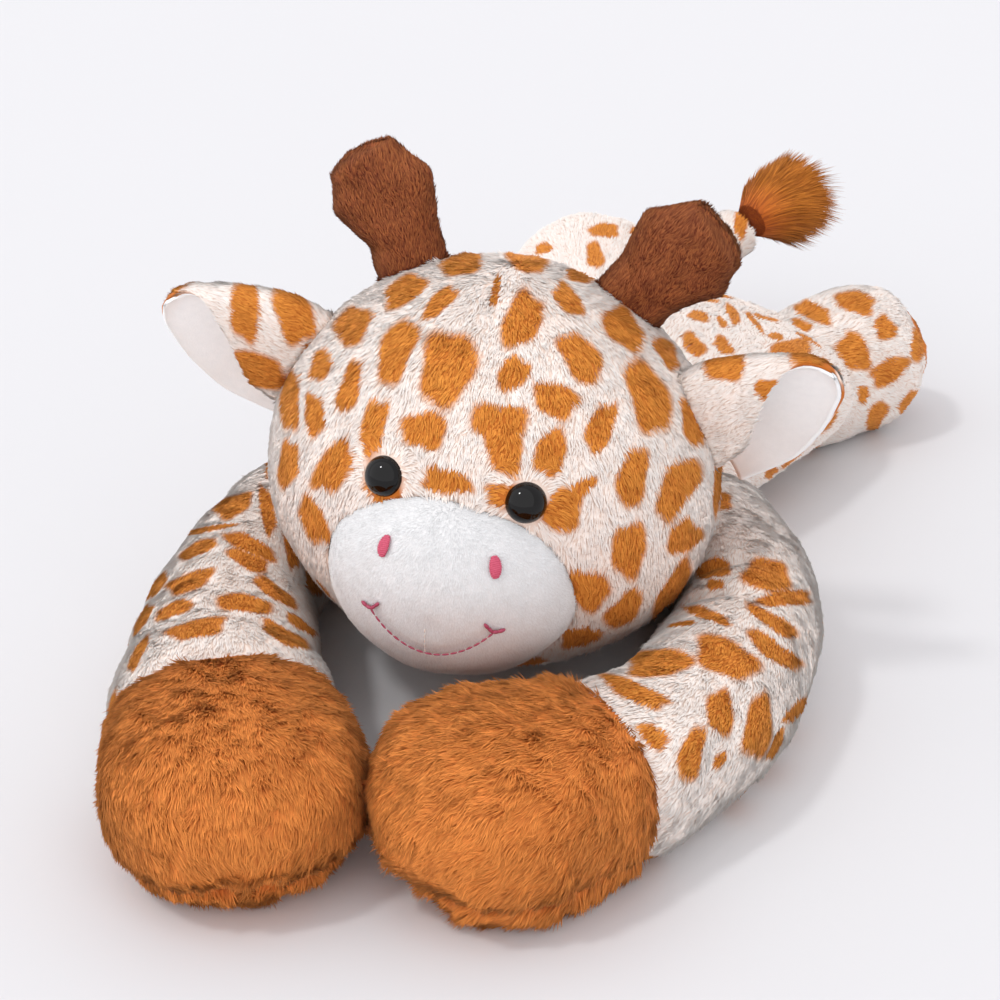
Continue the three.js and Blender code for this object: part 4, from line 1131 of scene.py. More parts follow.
@dataclass(frozen=True)
class HeadShape:
    """The head's round form about its centre, its turn, and the white muzzle on it."""

    place: tuple[float, float, float] = (0.0, -175.0, 100.0)
    yaw: float = 10.0
    roll: float = 5.0
    half_width: float = 94.0
    half_depth: float = 85.0
    half_height: float = 84.0
    taper: float = 0.05
    neck_tilt: float = 30.0
    neck_fade: tuple[float, float] = (51.0, 75.0)
    muzzle_place: tuple[float, float, float] = (0.0, -60.0, -16.0)
    muzzle: tuple[float, float, float] = (51.0, 42.0, 45.0)
    turns: tuple[float, ...] = (-20.0, 5.0, 0.0)
    nods: tuple[float, ...] = (-20.0, 3.0, 0.0)

    def frame(self) -> Frame:
        """The head's own axes, about its centre."""
        return Frame(turn_matrix(UP, self.yaw) @ turn_matrix((0, 1, 0), self.roll), np.array(self.place))

    def neck(self) -> np.ndarray:
        """The direction from the head's centre to the neck."""
        tilt = math.radians(self.neck_tilt)
        return np.array([0.0, math.cos(tilt), -math.sin(tilt)])

    def radius(self, directions: Rows) -> np.ndarray:
        """How far the surface is from the centre along each direction."""
        wide = self.half_width * (1 - self.taper * directions[:, 2])
        depth, height = np.full_like(wide, self.half_depth), np.full_like(wide, self.half_height)
        sizes = np.column_stack([wide, depth, height])
        free = 1 / np.linalg.norm(directions / sizes, axis=1)
        angle = np.degrees(np.arccos(np.clip(directions @ self.neck(), -1, 1)))
        fade = smoothstep(angle, *self.neck_fade)
        return self.half_depth + (free - self.half_depth) * fade

    def on(self, direction: np.ndarray, growth: float = 0.0) -> np.ndarray:
        """The place on the surface along a direction, in the head's own axes."""
        return direction * (self.radius(direction[None])[0] + growth)

    def solid(self, growth: float, detail: int = 6) -> Solid:
        """The head's form, grown outwards."""
        at = self.frame()
        return ball(lambda d: self.radius(d) + growth, detail).moved(at.turn, at.place)

    def sweep(self, growth: float) -> Solid:
        """The space that the head takes over its whole range, grown outwards."""
        rest = self.frame().turn.T
        turns = [turn_matrix((1, 0, 0), -nod) @ rest @ turn_matrix(UP, -turn)
                 for turn in self.turns for nod in self.nods]

        def reach(directions: Rows) -> np.ndarray:
            """The farthest that the surface comes along each direction."""
            return np.max([self.radius(directions @ t.T) for t in turns], axis=0) + growth

        return ball(reach, detail=5).moved(np.eye(3), np.array(self.place))

    def muzzle_solid(self, growth: float) -> Solid:
        """The muzzle's form, grown outwards."""
        sizes = [size + growth for size in self.muzzle]
        at = self.frame()
        place = at.out(np.array(self.muzzle_place))
        return ball(lambda d: ellipsoid_radius(d, *sizes), detail=6).moved(at.turn, place)

    def on_muzzle(self, azimuth: float, elevation: float, growth: float = 0.0) -> tuple[Rows, Rows]:
        """A place on the muzzle and its normal, in the toy's axes."""
        direction = heading(azimuth, elevation)
        offset = direction * ellipsoid_radius(direction, *self.muzzle)
        normal = unit(offset / np.array(self.muzzle) ** 2)
        at = self.frame()
        return at.out(np.array(self.muzzle_place) + offset + normal * growth), at.turn @ normal

    def in_muzzle(self, rows: Rows) -> np.ndarray:
        """How far out each row is, where the muzzle's surface is at 1."""
        return np.linalg.norm((self.frame().back(rows) - self.muzzle_place) / np.array(self.muzzle), axis=1)


SHAPE = HeadShape()


@dataclass(frozen=True)
class Face:
    """The head's cover, the eyes, and the muzzle with its embroidery."""

    shape: HeadShape = SHAPE
    eye_at: tuple[float, float] = (20.0, 17.0)
    eye_radius: float = 8.0
    eye_height: float = 7.0
    eye_sink: float = 2.0
    eye_parting: tuple[float, float] = (9.0, 20.0)
    crown: tuple[float, float, float] = (0.0, 12.0, 84.0)
    post_radius: float = 2.5
    post_length: float = 12.0
    nostril_at: tuple[float, float] = (33.0, 28.0)
    nostril: tuple[float, float, float] = (2.0, 4.1, 1.4)
    mouth_azimuth: float = 33.0
    mouth_end: float = -6.0
    mouth_middle: float = -26.0
    fork: float = 5.0
    pucker: float = -8.0
    seam_azimuth: float = -2.0
    pucker_depth: float = 0.8
    smile_depth: float = 0.7
    dart: tuple[tuple[int, int], ...] = ((495, 272), (490, 314), (502, 352))  # pixels of the photograph
    dart_depth: float = 2.2
    neck_rim: float = 34.0  # degrees from the neck's middle within which the head is bare
    eye_bare: float = 0.4  # how far past the eye's rim the head is bare
    smile_bare: tuple[float, float] = (0.5, 1.4)  # the pile thins out between these distances
    muzzle_top: float = 60.0  # elevation of the place that the muzzle's pile lies away from
    muzzle_overlap: float = 0.4
    head_overlap: float = 2.5  # how deep the muzzle reaches into the head, in times the pile's sink

    def eye_frame(self, side: Side) -> Frame:
        """An eye's seat, with its Y outwards."""
        outward = heading(side.value * self.eye_at[0], self.eye_at[1])
        return frame_at(self.shape.on(outward, -self.eye_sink), outward, UP).within(self.shape.frame())

    def smile(self) -> Rows:
        """Points along the smile."""
        shares = np.linspace(-1, 1, 41)
        rise = self.mouth_middle + (self.mouth_end - self.mouth_middle) * shares**2
        return np.array([self.shape.on_muzzle(share * self.mouth_azimuth, up, growth=0.5)[0]
                         for share, up in zip(shares, rise)])

    def comb(self, rows: Rows) -> Rows:
        """The pile lies away from the crown, and round the eyes away from them."""
        crown = self.shape.frame().out(np.array(self.crown))
        way = unit(rows - crown)
        parting = 2.5  # how strongly the pile turns away from the eyes
        for side in Side:
            away = rows - self.eye_frame(side).place
            near = 1 - smoothstep(np.linalg.norm(away, axis=1), *self.eye_parting)
            way = way + parting * unit(away) * near[:, None]
        return way

    def uneven(self, rows: Rows) -> np.ndarray:
        """The head's soft bumps, and the dart sewn in its forehead."""
        sewn = self.dart_depth * ridge(distance_to(self.dart_line(), rows), width=2.2)
        return lumps(rows, height=0.5, size=45, seed=1) - sewn

    def dart_line(self) -> Rows:
        """Places along the forehead's dart, found on the head through the photograph's pixels."""
        tree = self.shape.solid(growth=0, detail=4).tree()
        camera = Vector(VIEW.place())
        hits = [np.array(tree.ray_cast(camera, Vector(VIEW.ray(*pixel)))[0]) for pixel in self.dart]
        return catmull(np.array(hits), np.linspace(0, 1, 24))

    def muzzle_uneven(self, rows: Rows) -> np.ndarray:
        """The muzzle's soft bumps, and the pucker where its smile is sewn."""
        middle, _ = self.shape.on_muzzle(0, self.pucker)
        sunk = self.pucker_depth * ridge(np.linalg.norm(rows - middle, axis=1), width=5)
        sewn = self.smile_depth * ridge(distance_to(self.smile(), rows), width=2.2)
        return lumps(rows, height=0.35, size=26, seed=2) - sunk - sewn

    def bare(self, rows: Rows) -> np.ndarray:
        """No pile under the eyes, inside the muzzle or where the neck sits."""
        none = self.shape.in_muzzle(rows) < 1.0
        for side in Side:
            at = self.eye_frame(side).back(rows)
            none |= np.hypot(at[:, 0], at[:, 2]) < self.eye_radius + self.eye_bare
        angle = np.degrees(np.arccos(np.clip(unit(rows - self.shape.place) @ self.shape.neck(), -1, 1)))
        return (none | (angle < self.neck_rim)).astype(float)

    def muzzle_bare(self, rows: Rows) -> np.ndarray:
        """Thin pile along the smile."""
        return 1 - smoothstep(distance_to(self.smile(), rows), *self.smile_bare)

    def muzzle_comb(self, rows: Rows) -> Rows:
        """The short pile lies down and outwards from the top of the muzzle."""
        top, _ = self.shape.on_muzzle(0, self.muzzle_top)
        return unit(rows - top)

    def eye(self, side: Side, cloths: Cloths) -> None:
        """Make one domed eye on its post."""
        angles = np.linspace(0, math.pi / 2, 14)
        edge, bevel = 0.6, 0.7
        outline = [(0.0, -self.post_length), (self.post_radius, -self.post_length), (self.post_radius, -edge),
                   (self.eye_radius - bevel, -edge), (self.eye_radius, 0.0)]
        outline += [(self.eye_radius * math.cos(a), self.eye_height * math.sin(a)) for a in angles[1:]]
        at = self.eye_frame(side)
        thing = revolved(outline, 64).moved(at.turn, at.place).make(f"{side.word}_eye_dome")
        thing.data.materials.append(cloths.eye)
        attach(thing, "head")
        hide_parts(f"{side.word}_eye")

    def nostril_stitches(self, side: Side, cloths: Cloths) -> Thread:
        """Satin stitches over one nostril."""
        name = f"{side.word}_nostril"
        thread = Thread(f"{name}_stitches", "head", "rose_thread", (name,), cloths.rose)
        half_width, half_height, rise = self.nostril
        place, normal = self.shape.on_muzzle(side.value * self.nostril_at[0], self.nostril_at[1])
        at = frame_at(place, across(UP[None], normal[None])[0], normal)
        count, sunk, slant, overlap, thick = 11, 0.6, 0.15, 1.2, 1.25
        for i in range(count):
            share = (i + 0.5) / count * 2 - 1
            reach = math.sqrt(1 - share**2)
            middle = at.out(np.array([0.0, share * half_height, rise * reach - sunk]))
            thread.lay(middle, at.turn[:, 0] + slant * at.turn[:, 1], 2 * half_width * reach + overlap, thick)
        return thread

    def mouth_stitches(self, cloths: Cloths) -> Thread:
        """The stitched smile, with a small fork at each end."""
        thread = Thread("mouth_stitches", "head", "rose_thread", ("mouth",), cloths.dark_rose)
        thread.follow(self.smile(), step=3.4, width=0.8, filled=0.9)
        for side in Side:
            azimuth, fork = side.value * self.mouth_azimuth, side.value * self.fork
            tips = ((azimuth - fork, self.mouth_end + self.fork), (azimuth, self.mouth_end),
                    (azimuth + fork, self.mouth_end + self.fork / 3))
            points = np.array([self.shape.on_muzzle(*tip, growth=0.6)[0] for tip in tips])
            thread.follow(catmull(points, np.linspace(0, 1, 20)), step=2.6, width=1.5, filled=1.3)
        return thread

    def centre_stitches(self, cloths: Cloths) -> Thread:
        """The faint seam that runs down the muzzle from its pucker."""
        thread = Thread("muzzle_seam_stitches", "head", "white_velboa", (), cloths.pale)
        drop = np.linspace(self.pucker, self.mouth_middle, 12)
        line = np.array([self.shape.on_muzzle(self.seam_azimuth, up, growth=0.2)[0] for up in drop])
        thread.follow(line, step=2.8, width=0.5, filled=0.7)
        return thread

    def build(self, cloths: Cloths) -> tuple[list[Piece], list[Thread]]:
        """Make the face's pieces."""
        cover = self.shape.solid(-SHORT_PILE.sink).make("head_cover_plush")
        swell(cover, self.uneven)
        uncut = deep_tree(self.shape.solid(-SHORT_PILE.sink), self.uneven)
        carve(cover, [self.shape.muzzle_solid(-self.muzzle_overlap)])
        muzzle = self.shape.muzzle_solid(-VELBOA_PILE.sink).make("muzzle_cover_velboa")
        swell(muzzle, self.muzzle_uneven)
        carve(muzzle, [self.shape.solid(-self.head_overlap * SHORT_PILE.sink)])
        for side in Side:
            self.eye(side, cloths)
        return [
            cloths.spotted_piece("head_cover_plush", "head", ("head_cover", "head_filling"), cover,
                                 comb=self.comb, bare=self.bare, uncut=uncut, parts=2),
            Piece("muzzle_cover_velboa", "head", "white_velboa", ("muzzle_cover",), muzzle, cloths.velboa,
                  cloths.velboa, VELBOA_PILE, comb=self.muzzle_comb, bare=self.muzzle_bare,
                  uncut=deep_tree(self.shape.muzzle_solid(-VELBOA_PILE.sink), self.muzzle_uneven)),
        ], [self.nostril_stitches(Side.LEFT, cloths), self.nostril_stitches(Side.RIGHT, cloths),
            self.mouth_stitches(cloths), self.centre_stitches(cloths)]


@dataclass(frozen=True)
class Horn:
    """A flat hammer-headed horn, stuffed and sewn to the head."""

    side: Side
    lean: float
    bend: float
    back: float
    shape: HeadShape = SHAPE
    azimuth: float = 115.0
    elevation: float = 55.0
    length: float = 50.0
    sink: float = 14.0
    base: float = 15.0
    head: float = 22.0
    tip: float = 14.0
    thickness: float = 22.0
    squareness: float = 2.3
    seam_rise: float = 1.3
    shares: tuple[float, ...] = (0.0, 0.4, 0.72, 1.0)

    def frame(self) -> Frame:
        """The horn's own axes, with Y along it."""
        sign = self.side.value
        base = self.shape.on(heading(sign * self.azimuth, self.elevation))
        along = np.array([sign * math.tan(math.radians(self.lean)), math.tan(math.radians(self.back)), 1.0])
        return frame_at(base, along, np.array([0.0, -1.0, 0.0])).within(self.shape.frame())

    def tube(self) -> Tube:
        """Its form in its own axes."""
        span = self.sink + self.length
        bend = self.side.value * self.bend
        half = self.thickness / 2
        steps = np.linspace(0, 1, 15)
        wide = np.interp(steps, self.shares, (self.base, self.base, self.head, self.tip))
        return Tube(path=[(bend * s**2, s * span - self.sink, 0.0) for s in steps],
                    girths=[(w, half, self.squareness) for w in wide], start_round=2.0, end_round=4.5,
                    rings=44, sides=56)

    def build(self, cloths: Cloths) -> list[Piece]:
        """Make the horn's piece."""
        name = f"{self.side.word}_horn_plush"
        at = self.frame()
        form = self.tube().solid(HORN_PILE.sink).moved(at.turn, at.place)
        cover = form.make(name)

        def seam(rows: Rows) -> np.ndarray:
            """The ridge of the seam round the edge, and soft bumps."""
            rise = self.seam_rise * ridge(at.back(rows)[:, 2], width=1.4)
            return rise + lumps(rows, height=0.5, size=20, seed=5 + self.side.value)

        swell(cover, seam)
        carve(cover, [self.shape.solid(-SHORT_PILE.sink + CUT_CLEAR)])
        along = at.turn[:, 1]
        nodes = (f"{self.side.word}_horn_cover", f"{self.side.word}_horn_filling")
        return [Piece(name, "head", "horn_plush", nodes, cover, cloths.horn, cloths.horn, HORN_PILE,
                      comb=all_along(along), uncut=deep_tree(form, seam))]


@dataclass(frozen=True)
class Ear:
    """A leaf-shaped ear of a plush panel and a smooth lining, rolled over at the top."""

    side: Side
    lift: float
    elevation: float
    spread: float
    shape: HeadShape = SHAPE
    azimuth: float = 94.0
    length: float = 59.0
    sink: float = 10.0
    # Half height, half depth and the angle at which the rolled edge ends, from the root to the tip
    stations: tuple[tuple[float, float, float], ...] = (
        (29, 13, 190), (30, 12, 185), (23, 9, 150), (8, 6, 80))
    roll_start: float = -75.0
    plush: float = 3.5
    lining: float = 3.0
    forward: float = 16.0
    turn: float = 20.0
    tip_round: float = 7.0
    tip_least: float = 0.25
    along: int = 36
    around: int = 48
    rim_bare: float = 3.0
    lining_shown: float = 6.0  # degrees by which the lining reaches past the plush at the hanging edge

    def frame(self) -> Frame:
        """The ear's own axes: Y along it and Z to its closed side."""
        sign = self.side.value
        base = self.shape.on(heading(sign * self.azimuth, self.elevation))
        tilt = math.radians(self.turn)
        facing = np.array([0.0, math.cos(tilt), math.sin(tilt)])
        along = heading(sign * (90 - self.forward), self.lift)
        return frame_at(base, along, facing).within(self.shape.frame())

    def sheet(self, face: float, start: float) -> Rows:
        """A grid of points on a surface beside the seam between plush and lining.

        Args:
            face: How far outside the seam the surface is.
            start: The angle at which it starts, in degrees.

        Returns:
            The points, by station along the ear, by angle and by axis.
        """
        shares = np.linspace(0, 1, self.along + 1)
        sizes = catmull(self.stations, shares) * np.array([self.spread, 1.0, 1.0])
        left = (1 - shares) * (self.length + self.sink)
        rounded = np.sqrt(1 - np.clip(1 - left / self.tip_round, 0, 1) ** 2)
        sizes[:, :2] *= np.maximum(rounded, self.tip_least)[:, None]
        out = -self.sink + shares * (self.length + self.sink)
        angle = np.radians(start + (sizes[:, 2:] - start) * np.linspace(0, 1, self.around + 1))
        high, deep = sizes[:, :1], sizes[:, 1:2]
        flat = np.stack([np.sin(angle) * deep, np.zeros_like(angle), np.cos(angle) * high], axis=2)
        place = np.stack([np.sin(angle) * high, np.broadcast_to(out[:, None], angle.shape),
                          np.cos(angle) * deep], axis=2)
        rows = place + unit(flat) * face
        rows[..., 0] *= self.side.value
        return self.frame().out(rows)

    def open_sheet(self, face: float, start: float) -> Solid:
        """One surface of a panel."""
        row = self.around + 1
        faces = [(i * row + j, (i + 1) * row + j, (i + 1) * row + j + 1, i * row + j + 1)
                 for i in range(self.along) for j in range(self.around)]
        return Solid(self.sheet(face, start).reshape(-1, 3), faces)

    def panel(self, near: float, far: float, start: float) -> Solid:
        """A closed panel between two surfaces."""
        inner, outer = self.open_sheet(near, start), self.open_sheet(far, start)
        row, last = self.around + 1, self.along
        total = len(inner.corners)
        faces = [tuple(reversed(f)) for f in inner.faces] + [tuple(i + total for i in f) for f in outer.faces]
        rim = [*range(row), *(i * row + row - 1 for i in range(1, last + 1))]
        rim += [*(last * row + j for j in range(row - 2, -1, -1)), *(i * row for i in range(last - 1, 0, -1))]
        for a, b in zip(rim, rim[1:] + rim[:1]):
            faces.append((a, b, b + total, a + total))
        return Solid(np.vstack([inner.corners, outer.corners]), faces)

    def build(self, cloths: Cloths) -> list[Piece]:
        """Make the ear's two panels."""
        word = self.side.word
        clear = self.shape.solid(-SHORT_PILE.sink + CUT_CLEAR)
        outer_face = self.plush - EAR_PILE.sink
        plush_start = self.roll_start + self.lining_shown
        outer = self.panel(SEAM_GAP / 2, outer_face, plush_start).make(f"{word}_ear_plush")
        inner = self.panel(-self.lining, -SEAM_GAP / 2, self.roll_start).make(f"{word}_ear_velboa")
        for panel in (outer, inner):
            recalculated(panel)
            carve(panel, [clear])
        along = self.frame().turn[:, 1]
        body = f"{word}_ear"
        grid = self.sheet(outer_face, plush_start)
        rim = np.vstack([grid[:, 0], grid[-1]])

        def at_rim(rows: Rows) -> np.ndarray:
            """No pile beside the rim, where the lining shows."""
            return (distance_to(rim, rows) < self.rim_bare).astype(float)

        return [
            cloths.spotted_piece(f"{word}_ear_plush", body, (f"{word}_ear_outer",), outer, EAR_PILE,
                                 comb=all_along(along), bare=at_rim,
                                 uncut=self.open_sheet(outer_face, plush_start).tree()),
            Piece(f"{word}_ear_velboa", body, "white_velboa", (f"{word}_ear_lining",), inner, cloths.lining),
        ]


def recalculated(thing: bpy.types.Object) -> None:
    """Turn all faces of a closed mesh outwards."""
    shape = bmesh.new()
    shape.from_mesh(thing.data)
    bmesh.ops.recalc_face_normals(shape, faces=shape.faces)
    shape.to_mesh(thing.data)
    shape.free()


@dataclass(frozen=True)
class Neck:
    """The plush ring that joins head and body, and the thread that closes it."""

    shape: HeadShape = SHAPE
    half_angle: float = 33.0
    outer: float = 98.0
    thread: float = 0.9
    inner_bare: float = 0.8  # how far inside the outer face the ring is bare
    sides: int = 72

    def frame(self) -> Frame:
        """Axes about the head's centre, with Y towards the neck."""
        return frame_at(np.array(self.shape.place), self.shape.neck(), UP)

    def build(self, cloths: Cloths) -> tuple[list[Piece], list[Thread]]:
        """Make the ring and its thread."""
        inner, outer = self.shape.half_depth + SEAM_GAP, self.outer - SHORT_PILE.sink
        at = self.frame()
        edge = math.radians(self.half_angle) - SHORT_PILE.sink / outer
        angles = np.linspace(0, edge, 16)
        polar = [(inner, a) for a in angles] + [(outer, a) for a in angles[::-1]]
        profile = [(r * math.sin(a), r * math.cos(a)) for r, a in polar]
        cover = revolved(profile, self.sides).moved(at.turn, at.place).make("neck_plush")
        recalculated(cover)
        place = self.outer - self.thread
        angle = math.radians(self.half_angle) + (self.thread + SEAM_GAP) / place
        ring = circle(place * math.sin(angle), place * math.cos(angle), self.sides)
        thread = Thread("neck_thread", "neck", "pale_thread", ("neck_seam",), cloths.pale)
        thread.follow(at.out(np.vstack([ring, ring[:1]])), step=6.0, width=2 * self.thread, filled=1.05)

        def bare(rows: Rows) -> np.ndarray:
            """No pile on the faces inside the ring."""
            return (np.linalg.norm(rows - self.shape.place, axis=1) < outer - self.inner_bare).astype(float)

        return [cloths.spotted_piece("neck_plush", "neck", ("neck_cover", "neck_filling"), cover,
                                     comb=all_along(-UP), bare=bare)], [thread]


@dataclass(frozen=True)
class Foreleg:
    """A folded foreleg that ends in a big brown hoof."""

    side: Side
    stops: tuple[tuple[float, float], ...]
    root: tuple[float, float] = (66.0, -86.0)
    radius: float = 31.0
    middle: float = 33.0
    wrist: float = 35.0
    hoof_half_width: float = 51.0
    hoof_height: float = 70.0
    hoof_length: float = 94.0
    head_clear: float = 1.2
    squareness: float = 2.5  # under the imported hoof's, because long pile rounds its corners
    sole: float = 15.0
    elbow_folds: tuple[float, ...] = ()  # how far along the leg each fold of the bunched elbow is
    fold_depth: float = 3.0
    fold_reach: float = 60.0
    fold_fade: tuple[float, float] = (-25.0, 20.0)  # across the leg, from its outer to its inner side
    parting_back: float = 12.0  # how far behind the seam the hoof's pile starts to spread
    comb_onward: float = 0.25
    comb_droop: float = 0.35
    sleeve_tuck: float = 2.5  # the seam's tuck on the sleeve's side
    hoof_tuck: float = 2.0  # and on the hoof's side
    crease_depth: float = 6.0
    crease_at: float = 1.0  # above the sole's height
    sole_swell: float = 2.5
    swell_at: float = -7.0
    seam_bare: float = 0.6
    crease_bare: tuple[float, float] = (-1.0, 5.0)  # above the sole's height

    def tube(self) -> Tube:
        """The whole leg's form."""
        sign = self.side.value
        root = np.array([sign * self.root[0], self.root[1], self.radius - FLOOR_CUT])
        heights = [self.middle - FLOOR_CUT] * (len(self.stops) - 1) + [self.hoof_height / 2 - FLOOR_CUT]
        places = [np.array([sign * x, y, z]) for (x, y), z in zip(self.stops, heights)]
        away = unit((root - places[0]) * LEVEL) * self.radius
        onward = unit((places[-1] - places[-2]) * LEVEL) * self.hoof_half_width
        half = self.hoof_height / 2
        upper, hoof = (self.radius, self.radius), (self.hoof_half_width, half, self.squareness)
        return Tube(
            path=[root + away, root, *places, places[-1] + onward],
            girths=[upper, upper, (self.radius, self.middle), (self.middle, self.middle),
                    (self.wrist, self.middle), hoof, hoof],
            start_round=self.radius, end_round=self.hoof_half_width, rings=96, sides=112)

    def seam(self) -> tuple[np.ndarray, np.ndarray]:
        """Where the hoof's cloth begins, and the level direction along the leg there."""
        tube = self.tube()
        centres, ahead, _ = tube.line(np.array([tube.length() - self.hoof_length]))
        return centres[0], unit(ahead[0] * LEVEL)

    def folded(self, tube: Tube, rows: Rows) -> np.ndarray:
        """How deep the elbow's folds press in, mostly on its inner side."""
        depth = np.zeros(len(rows))
        for distance in self.elbow_folds:
            centres, ahead, _ = tube.line(np.array([distance]))
            away = rows - centres[0]
            reached = np.linalg.norm(away, axis=1) < self.fold_reach
            inner = smoothstep(-self.side.value * away[:, 0], *self.fold_fade) * reached
            depth += self.fold_depth * inner * ridge(away @ ahead[0], width=3.5)
        return depth

    def build(self, cloths: Cloths) -> list[Piece]:
        """Make the sleeve and the two parts of the hoof."""
        word = self.side.word
        tube = self.tube()
        seam, ahead = self.seam()
        clear = SHAPE.sweep(self.head_clear - SHORT_PILE.sink)

        def tuck(rows: Rows) -> np.ndarray:
            """The tuck at the seam, the elbow's folds, and soft bumps."""
            bumps = lumps(rows, height=0.7, size=34, seed=20 + self.side.value)
            sewn = self.sleeve_tuck * ridge((rows - seam) @ ahead, width=6)
            return bumps - self.folded(tube, rows) - sewn

        def crease(rows: Rows) -> np.ndarray:
            """The crease above the sole, the swell under it, the tuck at the seam, and bumps."""
            above = rows[:, 2] - self.sole
            swollen = self.sole_swell * ridge(above - self.swell_at, width=5)
            sunk = self.crease_depth * ridge(above - self.crease_at, width=2.8)
            sewn = self.hoof_tuck * ridge((rows - seam) @ ahead, width=5)
            return swollen - sunk - sewn + lumps(rows, height=0.8, size=30, seed=30 + self.side.value)

        sleeve_form = tube.solid(SHORT_PILE.sink)
        sleeve = sleeve_form.make(f"{word}_foreleg_plush")
        swell(sleeve, tuck)
        keep_side(sleeve, seam, ahead, Cutting.BEHIND)
        hoof_form = tube.solid(HOOF_PILE.sink)
        hoof = hoof_form.make(f"{word}_hoof_sole_plush")
        swell(hoof, crease)
        keep_side(hoof, seam + SEAM_GAP * ahead, ahead, Cutting.AHEAD)
        for thing in (sleeve, hoof):
            carve(thing, [clear])
        top = split(hoof, np.array([0.0, 0.0, self.sole]), UP, f"{word}_hoof_top_plush")
        parting = seam + (self.hoof_height - self.middle) * UP - self.parting_back * ahead

        def spread(rows: Rows) -> Rows:
            """The pile lies away from the top of the hoof and a little forwards."""
            return unit(rows - parting) + self.comb_onward * ahead

        def at_seam(rows: Rows) -> np.ndarray:
            """No pile in the seam."""
            return (np.abs((rows - seam) @ ahead) < self.seam_bare).astype(float)

        def hoof_bare(rows: Rows) -> np.ndarray:
            """No pile in the crease or in the seam."""
            above = rows[:, 2] - self.sole
            low, high = self.crease_bare
            return np.maximum((above > low) & (above < high), at_seam(rows)).astype(float)

        body = f"{word}_foreleg"
        pieces = [cloths.spotted_piece(
            f"{word}_foreleg_plush", body, (f"{body}_cover", f"{body}_filling"), sleeve,
            comb=lambda rows: tube.along(rows) - self.comb_droop * UP, bare=at_seam, parts=2)]
        for part, thing in (("top", top), ("sole", hoof)):
            pieces.append(Piece(
                thing.name, body, "brown_plush", (f"{word}_hoof_{part}",), thing, cloths.hoof, cloths.hoof,
                HOOF_PILE, comb=spread, bare=hoof_bare, uncut=deep_tree(hoof_form, crease)))
        return pieces


def deep_tree(form: Solid, outwards: Field) -> BVHTree:
    """A search tree over a form after its surface has been moved."""
    thing = form.make("measure")
    swell(thing, outwards)
    tree = Solid(mesh_rows(thing.data), form.faces).tree()
    bpy.data.meshes.remove(thing.data)
    return tree


@dataclass(frozen=True)
class HindLeg:
    """A short round hind leg with a brown pad on its sole."""

    side: Side
    foot: tuple[float, float]
    outward: float
    root: tuple[float, float] = (52.0, 80.0)
    foot_half_width: float = 38.0
    radius: float = 34.0
    foot_radius: float = 38.0
    pad: float = 14.0
    tuck: float = 2.0
    comb_droop: float = 0.5
    swing: float = 15.0

    def tube(self) -> Tube:
        """The leg's form."""
        sign = self.side.value
        root = np.array([sign * self.root[0], self.root[1], self.radius - FLOOR_CUT])
        foot = np.array([sign * self.foot[0], self.foot[1], self.foot_radius - FLOOR_CUT])
        along = unit((foot - root) * LEVEL)
        girths = [(self.radius, self.radius)] * 2 + [(self.foot_half_width, self.foot_radius)] * 2
        return Tube(path=[root - along * self.radius, root, foot, foot + along * self.foot_radius],
                    girths=girths, start_round=self.radius, end_round=self.foot_radius, rings=40, sides=56)

    def build(self, cloths: Cloths) -> list[Piece]:
        """Make the leg and its pad."""
        word = self.side.word
        tube = self.tube()
        end = np.array(tube.path[-1])
        ahead = unit((end - np.array(tube.path[1])) * LEVEL)
        seam = end - ahead * self.pad

        def tuck(rows: Rows) -> np.ndarray:
            """The tuck at the pad's seam, and soft bumps."""
            bumps = lumps(rows, height=0.8, size=32, seed=40 + self.side.value)
            return bumps - self.tuck * ridge((rows - seam) @ ahead, width=4)

        form = tube.solid(SHORT_PILE.sink)
        leg = form.make(f"{word}_hind_leg_plush")
        swell(leg, tuck)
        pad = split(leg, seam, ahead, f"{word}_hind_pad_plush")
        uncut = deep_tree(form, tuck)
        body = f"{word}_hind_leg"
        return [
            cloths.spotted_piece(f"{word}_hind_leg_plush", body, (f"{body}_cover", f"{body}_filling"), leg,
                                 comb=all_along(ahead - self.comb_droop * UP), uncut=uncut),
            Piece(pad.name, body, "brown_plush", (f"{word}_hind_pad",), pad, cloths.hoof, cloths.hoof,
                  SHORT_PILE, comb=all_along(-UP), uncut=uncut),
        ]


